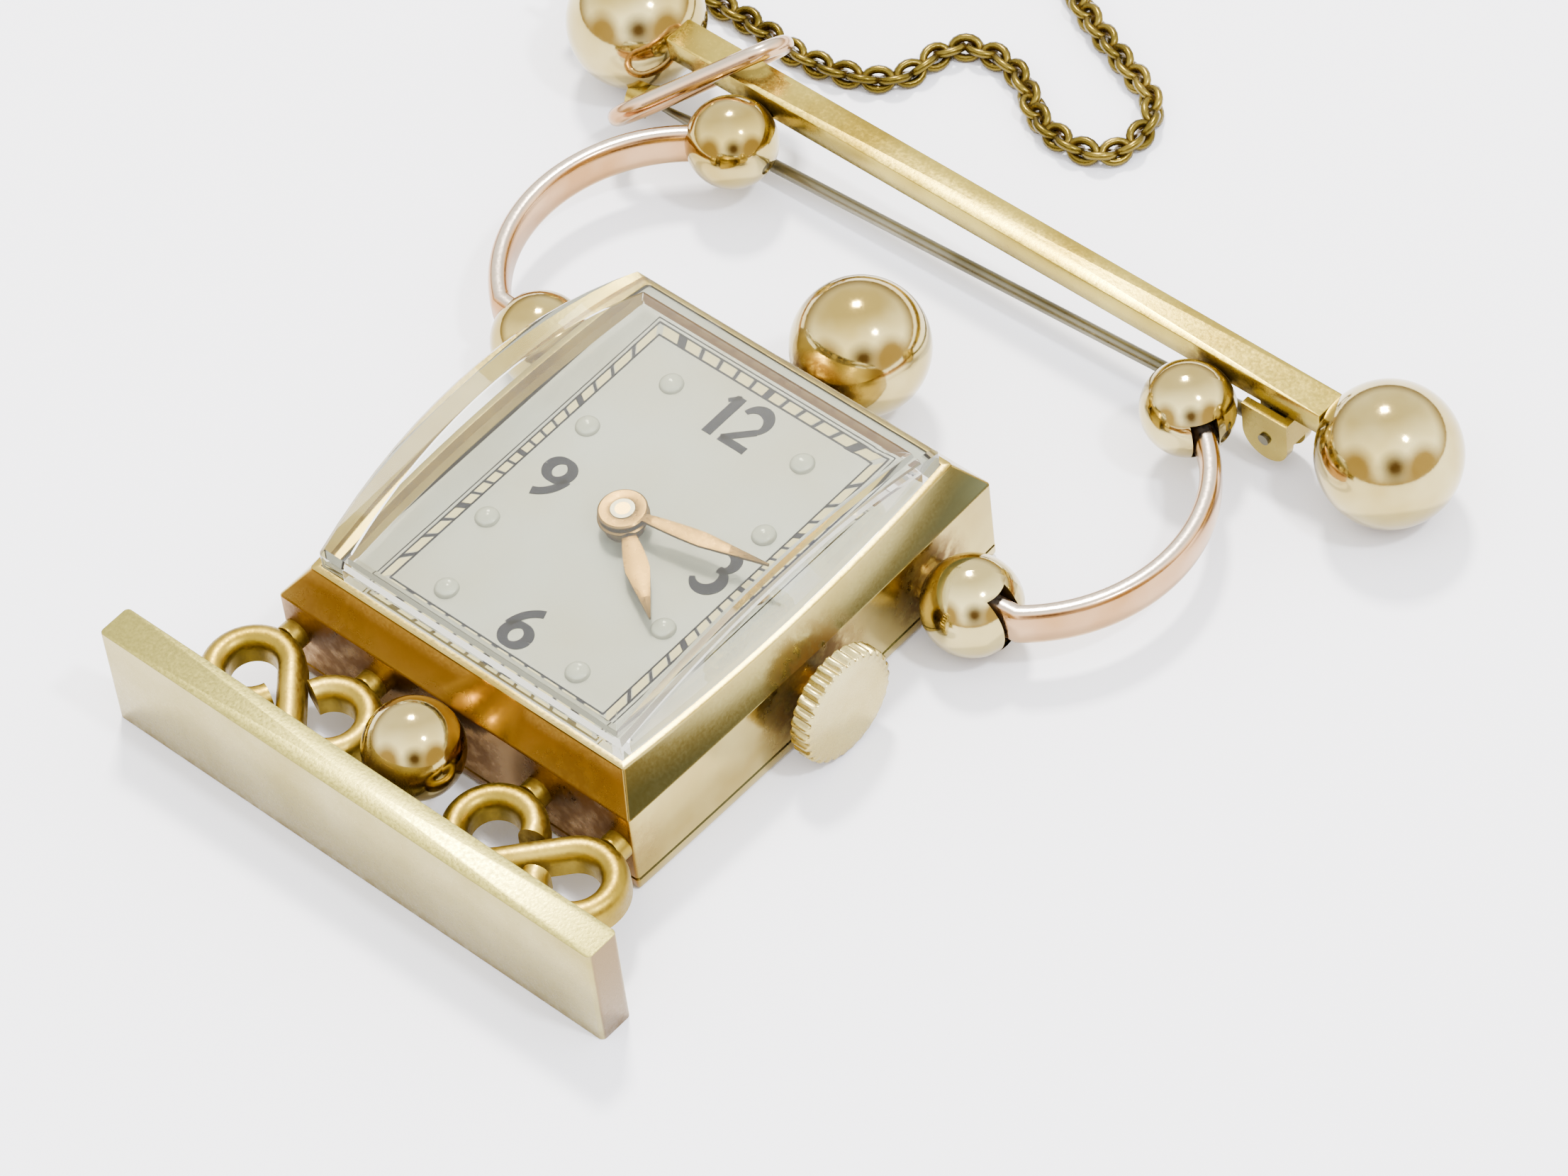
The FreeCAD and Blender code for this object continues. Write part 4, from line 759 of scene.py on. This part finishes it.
@dataclass
class Hand:
    """A leaf-shaped gilt hand, ridged very slightly along its middle, with a round boss."""

    label: str
    height: float
    length: float
    angle: float
    belly: float
    boss: float
    bore: float
    thick: float = 0.14
    neck: float = 0.14

    def build(self) -> None:
        """Make the leaf as a ridged strip whose width swells and tapers, and the boss as a ring."""
        along = np.linspace(0.3, self.length, 60)
        share = along / self.length
        swell = np.sin(np.clip((share - 0.12) / 0.88, 0, 1) * math.pi) ** 0.9
        half = self.neck + (self.belly - self.neck) * swell
        half = np.where(share > 0.5, np.minimum(half, 0.03 + self.belly * (1 - share) * 2), half)
        across = np.array([[-1, 0], [-1, 0.75], [0, 1.0], [1, 0.75], [1, 0], [0, 0]])
        grid = np.stack([half[:, None] * across[None, :, 0], along[:, None] * np.ones((1, 6)),
                         self.thick * across[None, :, 1] * np.ones((60, 1))], axis=2)
        turn = math.radians(-self.angle)
        c, s = math.cos(turn), math.sin(turn)
        spin = np.array([[c, -s, 0], [s, c, 0], [0, 0, 1]])
        grid = grid @ spin.T + np.array([0, HUB_Y, self.height])
        body = self.label.split("_")[0]
        show(surface(self.label + "_leaf", grid, caps=True, smooth_deg=20), HAND_GOLD, body, self.label)
        profile = [(self.bore, 0), (self.boss - 0.05, 0), (self.boss, 0.04), (self.boss, 0.1),
                   (self.boss - 0.06, self.thick), (self.bore + 0.12, self.thick),
                   (self.bore, self.thick - 0.03)]
        show(lathe(self.label + "_boss", profile, (0, HUB_Y, self.height), close=True), HAND_GOLD, body)


def lathe(name: str, profile: Sequence[tuple[float, float]], centre: Sequence[float],
          close: bool = False, along_x: bool = False, count: int = 72) -> Piece:
    """Spin a profile of radius and height about Z, or about X, through a centre."""
    turn = np.linspace(0, 2 * math.pi, count, endpoint=False)
    rows = np.array(profile, float)
    r, h = rows[:, :1], rows[:, 1:]
    ones = np.ones((1, count))
    if along_x:
        grid = np.stack([h * ones, r * np.cos(turn), r * np.sin(turn)], axis=2)
    else:
        grid = np.stack([r * np.cos(turn), r * np.sin(turn), h * ones], axis=2)
    return surface(name, grid + np.asarray(centre, float), close_rows=close, caps=not close, smooth_deg=32)


@dataclass
class Crown:
    """The winding crown: a fluted rim, a flat satin face with a turned edge and a boss behind."""

    radius: float = 2.15
    back: float = 8.9
    thick: float = 0.8
    flutes: int = 30
    depth: float = 0.17
    centre_z: float = 2.2

    def build(self) -> None:
        """Make the head: the radius falls by the flute depth in thirty rounded grooves."""
        count = self.flutes * 12
        turn = np.linspace(0, 2 * math.pi, count, endpoint=False)
        groove = (0.5 + 0.5 * np.cos(turn * self.flutes)) ** 1.6
        rows = []
        stations = [(0.0, 0.9, 0), (0.0, self.radius - 0.2, 0), (0.05, self.radius - 0.05, 0.6),
                    (0.12, self.radius, 1), (self.thick - 0.12, self.radius, 1),
                    (self.thick - 0.05, self.radius - 0.04, 0.8), (self.thick, self.radius - 0.16, 0.1),
                    (self.thick, self.radius - 0.4, 0), (self.thick - 0.01, 0.6, 0),
                    (self.thick - 0.01, 0.02, 0)]
        for x, r, share in stations:
            radius = r - self.depth * groove * share
            rows.append(np.column_stack([np.full(count, self.back + x), HUB_Y + radius * np.cos(turn),
                                         self.centre_z + radius * np.sin(turn)]))
        head = surface("crown_head", np.stack(rows), caps=True, smooth_deg=35)
        show(head, CROWN_GOLD, "crown", "crown")
        boss = lathe("crown_boss", [(0.26, -0.3), (0.85, -0.3), (0.9, -0.25), (0.9, 0.1), (0.26, 0.1)],
                     (self.back, HUB_Y, self.centre_z), close=True, along_x=True)
        show(boss, STEEL, "crown")


@dataclass
class Scroll:
    """An S of round-topped strand: two open loops joined by one crossing stroke."""

    side: Side
    inner_x: float = 3.78
    pitch: float = 3.62
    y: float = -11.33
    radius: float = 1.35
    half_wide: float = 0.5
    low: float = 1.6
    opening_deg: float = 21.0
    shoulder: float = 0.55
    crown: float = 0.58

    def route(self) -> Array:
        """The strand's middle line: an arc, the straight tangent that crosses, and an arc."""
        tilt = math.acos(2 * self.radius / self.pitch)
        opening = math.radians(self.opening_deg)
        first = np.linspace(opening, 2 * math.pi - tilt, 60)
        second = np.linspace(math.pi - tilt, -math.pi + opening, 60)
        one = arc(self.inner_x, self.y, self.radius, self.radius, first)
        two = arc(self.inner_x + self.pitch, self.y, self.radius, self.radius, second)
        cross = one[-1] + (two[0] - one[-1]) * np.linspace(0, 1, 14)[1:-1, None]
        flat = np.vstack([one, cross, two])
        return np.column_stack([flat[:, 0] * self.side.value, flat[:, 1], np.full(len(flat), self.low)])

    def build(self) -> None:
        """Sweep a half-round section along the route."""
        turn = np.linspace(0, math.pi, 20)
        dome = np.stack([self.half_wide * np.cos(turn) * 0.99,
                         self.shoulder + self.crown * np.sin(turn) ** 0.8], axis=1)
        wide, flat = self.half_wide, self.half_wide - 0.08
        foot = np.array([[-wide, 0.06], [-flat, 0.0], [flat, 0.0], [wide, 0.06]])
        section = np.vstack([dome, foot])
        piece = sweep("scroll_strand_" + self.side.word, self.route(), section)
        show(piece, SCROLL_GOLD, "case", "scroll_" + self.side.word)


def wall_block(name: str, half: tuple[float, float], centre: Sequence[float], tall: float,
               corner: float = 0.08) -> Piece:
    """An upright block from a rounded outline, its edges rolled over by a few hundredths."""
    outline = Outline(half[0], half[1], 0.0, corner)
    soft = 0.035
    part_way = soft * 0.3
    levels = [(0.0, outline.shrunk(soft)), (part_way, outline.shrunk(part_way)), (soft, outline),
              (tall - soft, outline), (tall - part_way, outline.shrunk(part_way)),
              (tall, outline.shrunk(soft))]
    return stack(name, levels, smooth_deg=30, centre=centre)


@dataclass
class Ornaments:
    """The fixed gold work round the case: balls at 12 and 6, the base plate and the scrolls."""

    upper_centre: tuple[float, float, float] = (0.0, 11.57, 3.07)
    upper_radius: float = 2.5
    lower_centre: tuple[float, float, float] = (0.0, -11.0, 3.31)
    lower_radius: float = 1.78
    plate_half: tuple[float, float] = (11.17, 0.695)
    plate_y: float = -13.745
    plate_tall: float = 4.46
    plate_corner: float = 0.2

    def build(self) -> None:
        """Make the balls, the base plate and both scrolls."""
        upper = globe("ball_at_twelve", self.upper_centre, self.upper_radius, seed=4)
        show(upper, BALL_GOLD, "case", "case_ball")
        lower = globe("ball_at_six", self.lower_centre, self.lower_radius, seed=9)
        show(lower, BALL_GOLD, "case", "lower_ball")
        plate = wall_block("base_slab", self.plate_half, (0, self.plate_y, 0), self.plate_tall,
                           self.plate_corner)
        show(plate, PLATE_GOLD, "case", "base_plate")
        for side in Side:
            Scroll(side).build()


@dataclass
class BailArm:
    """One C-shaped arm: a rounded band turning from the case's side ball to the brooch's ball."""

    side: Side
    centre: tuple[float, float] = (8.09, 10.85)
    radius: float = 6.22
    half_wide: float = 0.39
    half_tall: float = 0.775
    ends: tuple[tuple[float, float], tuple[float, float]] = ((9.9, 5.75), (10.47, 16.56))

    def build(self) -> None:
        """Sweep the band: a straight tongue out of each ball and the round arc between them."""
        low = math.asin((self.ends[0][1] - self.centre[1] + 0.12) / self.radius)
        high = math.asin((self.ends[1][1] - self.centre[1] - 0.72) / self.radius)
        turn = np.linspace(low, high, 90)
        bend = arc(self.centre[0], self.centre[1], self.radius, self.radius, turn)
        first = np.array(self.ends[0]) + (bend[0] - self.ends[0]) * np.linspace(0.15, 0.9, 8)[:, None]
        last = np.array(self.ends[1]) + (bend[-1] - self.ends[1]) * np.linspace(0.9, 0.15, 8)[:, None]
        flat = np.vstack([first, bend, last])
        level = np.full(len(flat), PIVOT_Z)
        path = np.column_stack([flat[:, 0] * self.side.value, flat[:, 1], level])
        section = rounded_box(self.half_wide, self.half_tall, 3.0, 40)
        arm = sweep("bail_arm_" + self.side.word, path, section)
        show(arm, ROSE_GOLD, "bail", "arm_" + self.side.word)


@dataclass
class Brooch:
    """The bar with its end balls."""

    bar_half: tuple[float, float] = (14.95, 0.64)
    bar_centre: tuple[float, float, float] = (0.0, 18.8, 2.7)
    bar_tall: float = 0.98
    bar_corner: float = 0.06
    ball_x: float = 17.27
    ball_y: float = 19.0
    ball_radius: float = 2.58

    def build(self) -> None:
        """Make the square bar and the two end balls, which rest on the floor."""
        bar = wall_block("bar_strip", self.bar_half, self.bar_centre, self.bar_tall, self.bar_corner)
        show(bar, BAR_GOLD, "brooch", "brooch_bar")
        for side in Side:
            centre = (self.ball_x * side.value, self.ball_y, self.ball_radius)
            ball = globe("end_ball_" + side.word, centre, self.ball_radius, seed=7 + side.value)
            show(ball, BALL_GOLD, "brooch", "finial_" + side.word)


# Control points of the safety chain's line, in metres, from its ring to its pin.
CHAIN_POINTS = [
    (-0.02075, 0.01935, 0.00215), (-0.0213, 0.0212, 0.0009), (-0.0192, 0.0227, 0.00044),
    (-0.0157, 0.02295, 0.00044), (-0.0124, 0.02245, 0.00044), (-0.0089, 0.02355, 0.00044),
    (-0.00875, 0.02675, 0.00044), (-0.00585, 0.02695, 0.00044), (-0.0034, 0.025, 0.00044),
    (-0.0003, 0.0252, 0.00044), (-0.00035, 0.0284, 0.00044), (-0.0035, 0.02955, 0.00044),
    (-0.0066, 0.03085, 0.00044), (-0.0094, 0.0329, 0.00044), (-0.0126, 0.0337, 0.00044),
    (-0.0154, 0.0331, 0.00044),
]


@dataclass
class SafetyChain:
    """A fine chain of oval links laid in loose waves on the floor."""

    wire: float = 0.16
    link_half_long: float = 0.52
    link_half_wide: float = 0.38
    pitch: float = 0.6
    lean_deg: float = 38.0
    lean_spread_deg: float = 7.0
    diameter: float = 0.84
    seed: int = 3

    def route(self) -> Array:
        """Points in millimetres along a smooth curve led by the chain's control points."""
        curve = bpy.data.curves.new("chain_route", "CURVE")
        curve.dimensions = "3D"
        spline = curve.splines.new("NURBS")
        spline.points.add(len(CHAIN_POINTS) - 1)
        for point, place in zip(spline.points, CHAIN_POINTS):
            point.co = (*place, 1.0)
        spline.order_u = 3
        spline.use_endpoint_u = True
        curve.resolution_u = 24
        holder = bpy.data.objects.new("chain_route", curve)
        mesh = bpy.data.meshes.new_from_object(holder)
        points = np.empty(len(mesh.vertices) * 3)
        mesh.vertices.foreach_get("co", points)
        bpy.data.objects.remove(holder)
        bpy.data.meshes.remove(mesh)
        return points.reshape(-1, 3) / MM

    def build(self) -> None:
        """Set oval links at even steps along the route, leaning left and right in turn."""
        line = self.route()
        steps = np.linalg.norm(np.diff(line, axis=0), axis=1)
        travel = np.concatenate([[0], np.cumsum(steps)])
        length = travel[-1]
        spots = np.arange(self.pitch / 2, length, self.pitch)

        def at(distance: Array) -> Array:
            """Places on the line, by distance along it."""
            return np.stack([np.interp(distance, travel, line[:, k]) for k in range(3)], axis=1)

        middle = at(spots)
        tangent = unit(at(spots + 0.1) - at(spots - 0.1))
        side = unit(np.cross(tangent, UP))
        over = np.cross(side, tangent)
        rng = np.random.default_rng(self.seed)
        lean = self.lean_deg + rng.normal(0, self.lean_spread_deg, len(spots))
        roll = np.radians(lean) * np.where(np.arange(len(spots)) % 2 == 0, 1, -1)
        around, across = 16, 6
        link = self.link(around, across)
        a = side * np.cos(roll)[:, None] + over * np.sin(roll)[:, None]
        b = -side * np.sin(roll)[:, None] + over * np.cos(roll)[:, None]
        points = (middle[:, None] + tangent[:, None] * link[None, :, :1] + a[:, None] * link[None, :, 1:2]
                  + b[:, None] * link[None, :, 2:3]).reshape(-1, 3)
        cell = grid_faces(around, across, True, True)
        faces = (np.arange(len(spots))[:, None, None] * len(link) + cell[None]).reshape(-1, 4)
        chain = make_mesh("chain_links", points, faces, smooth_deg=80)
        face_outwards(chain)
        show(chain, CHAIN_GOLD, "brooch", "safety_chain")
        log.info("chain length %.1f mm, %d links", length, len(spots))

    def link(self, around: int, across: int) -> Array:
        """Points of one oval wire link, lying along X."""
        u = np.linspace(0, 2 * math.pi, around, endpoint=False)
        v = np.linspace(0, 2 * math.pi, across, endpoint=False)
        ring = np.stack([self.link_half_long * np.cos(u), self.link_half_wide * np.sin(u), 0 * u], axis=1)
        out = np.stack([np.cos(u), np.sin(u), 0 * u], axis=1)
        section = np.cos(v)[None, :, None] * out[:, None] + np.sin(v)[None, :, None] * UP
        return (ring[:, None] + self.wire * section).reshape(-1, 3)


NODE_FINISH = {
    "side_ball_right": BALL_GOLD, "side_ball_left": BALL_GOLD, "top_ball_right": BALL_GOLD,
    "top_ball_left": BALL_GOLD, "side_ball_pins": STEEL, "top_ball_pins": STEEL, "solder_lugs": SCROLL_GOLD,
    "stem_tube": BRASS, "winding_stem": STEEL, "setting_lever": STEEL, "pin_hinge": BAR_GOLD,
    "hinge_rivet": STEEL, "pin_stem": STEEL, "catch": BAR_GOLD, "oval_link": ROSE_GOLD,
    "chain_ring": CHAIN_GOLD, "chain_safety_pin": CHAIN_GOLD, "movement_plate": NICKEL,
    "barrel_bridge": NICKEL, "train_bridge": NICKEL, "balance_cock": NICKEL, "jewels": RUBY,
    "bridge_screws": STEEL, "mainspring_barrel": BRASS, "centre_wheel": BRASS, "third_wheel": BRASS,
    "fourth_wheel": BRASS, "escape_wheel": STEEL, "pallet_fork": STEEL, "balance_wheel": BRASS,
    "hairspring": STEEL, "cannon_pinion": STEEL, "hour_wheel": BRASS, "minute_wheel": BRASS,
}


def build_studio() -> None:
    """A white sweep of floor, a bright sky, two lamps and the camera."""
    half = 2.0
    floor = bpy.data.meshes.new("floor")
    corners = [(-half, -half, 0), (half, -half, 0), (half, half, 0), (-half, half, 0)]
    floor.from_pydata(corners, [], [(0, 1, 2, 3)])
    ground = bpy.data.objects.new("floor", floor)
    bpy.context.scene.collection.objects.link(ground)
    coat(ground, FLOOR)
    build_sky()
    add_lamp("key_lamp", (-0.2, 0.22, 0.5), size=0.08, power=7.0, colour="#FFF8EE")
    add_lamp("second_lamp", (0.3, 0.06, 0.5), size=0.05, power=3.0, colour="#FFFFFF")
    add_camera()


def dark_patches() -> list[tuple[tuple[float, float, float], float, float, str]]:
    """The room's dark things: direction, cosine where full, cosine where it starts, colour."""
    return [
        ((0.66, -0.58, 0.46), 0.995, 0.86, "#3E2F1C"),
        ((0.95, 0.05, 0.2), 0.95, 0.80, "#7A6A48"),
        ((-0.2, -0.96, 0.2), 0.96, 0.80, "#7A6A48"),
    ]


def build_sky() -> None:
    """A soft white room, darker towards the viewer's corner and low down, so metal has contrast."""
    world = bpy.data.worlds.new("room")
    world.use_nodes = True
    tree = world.node_tree
    coords = add(tree, "ShaderNodeTexCoord").outputs["Generated"]
    height = add(tree, "ShaderNodeSeparateXYZ", {}, {0: coords}).outputs["Z"]
    low = remap(tree, height, 0.02, 0.34)
    colour = mix_colour(tree, low, linear("#7C6C4C"), linear("#F6F8FF"))
    lean = facing_amount(tree, coords, (-0.6, 0.5, 0.6), -0.2, 0.75)
    colour = mix_colour(tree, lean, colour, linear("#A8A498"), "MULTIPLY")
    for aim, inside, outside, shade in dark_patches():
        toward = facing_amount(tree, coords, aim, outside, inside)
        colour = mix_colour(tree, toward, colour, linear(shade))
    feed(tree, tree.nodes["Background"], {"Color": colour, "Strength": SKY_STRENGTH})
    bpy.context.scene.world = world


def add_lamp(name: str, place: Sequence[float], size: float, power: float, colour: str) -> None:
    """A square soft lamp that looks at the middle of the watch."""
    light = bpy.data.lights.new(name, "AREA")
    light.size = size
    light.energy = power
    light.color = linear(colour)[:3]
    lamp = bpy.data.objects.new(name, light)
    lamp.location = place
    aim = Vector((0.0, 0.004, 0.0)) - Vector(place)
    lamp.rotation_euler = aim.to_track_quat("-Z", "Y").to_euler()
    bpy.context.scene.collection.objects.link(lamp)


def add_camera() -> None:
    """The camera, high on the corner between 4 and 5 o'clock and tilted a few degrees."""
    place_mm = Vector((114.738, -100.003, 179.844))
    lens = bpy.data.cameras.new("camera")
    lens.sensor_width = 36.0
    lens.lens = 158.5
    lens.clip_start = 0.01
    lens.clip_end = 10
    camera = bpy.data.objects.new("camera", lens)
    right = Vector((0.74798, 0.65825, -0.08499))
    back = Vector((0.47353, -0.43953, 0.76327))
    up = back.cross(right)
    turn = Matrix((right, up, back)).transposed().to_4x4()
    camera.matrix_world = Matrix.Translation(place_mm * MM) @ turn
    bpy.context.scene.collection.objects.link(camera)
    bpy.context.scene.camera = camera


def main() -> None:
    """Build every piece, then the room round it."""
    logging.basicConfig(level=logging.INFO)
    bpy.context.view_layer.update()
    for node, finish in NODE_FINISH.items():
        coat(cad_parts[node], finish)
    WatchCase().build()
    Crystal().build()
    Dial().build()
    Hand("minute_hand", height=5.08, length=5.64, angle=78.3, belly=0.3, boss=0.86, bore=0.42).build()
    Hand("hour_hand", height=4.78, length=4.6, angle=126.5, belly=0.42, boss=0.9, bore=0.62).build()
    Crown().build()
    Ornaments().build()
    for side in Side:
        BailArm(side).build()
    Brooch().build()
    SafetyChain().build()
    build_studio()


if __name__ == "__main__":
    main()
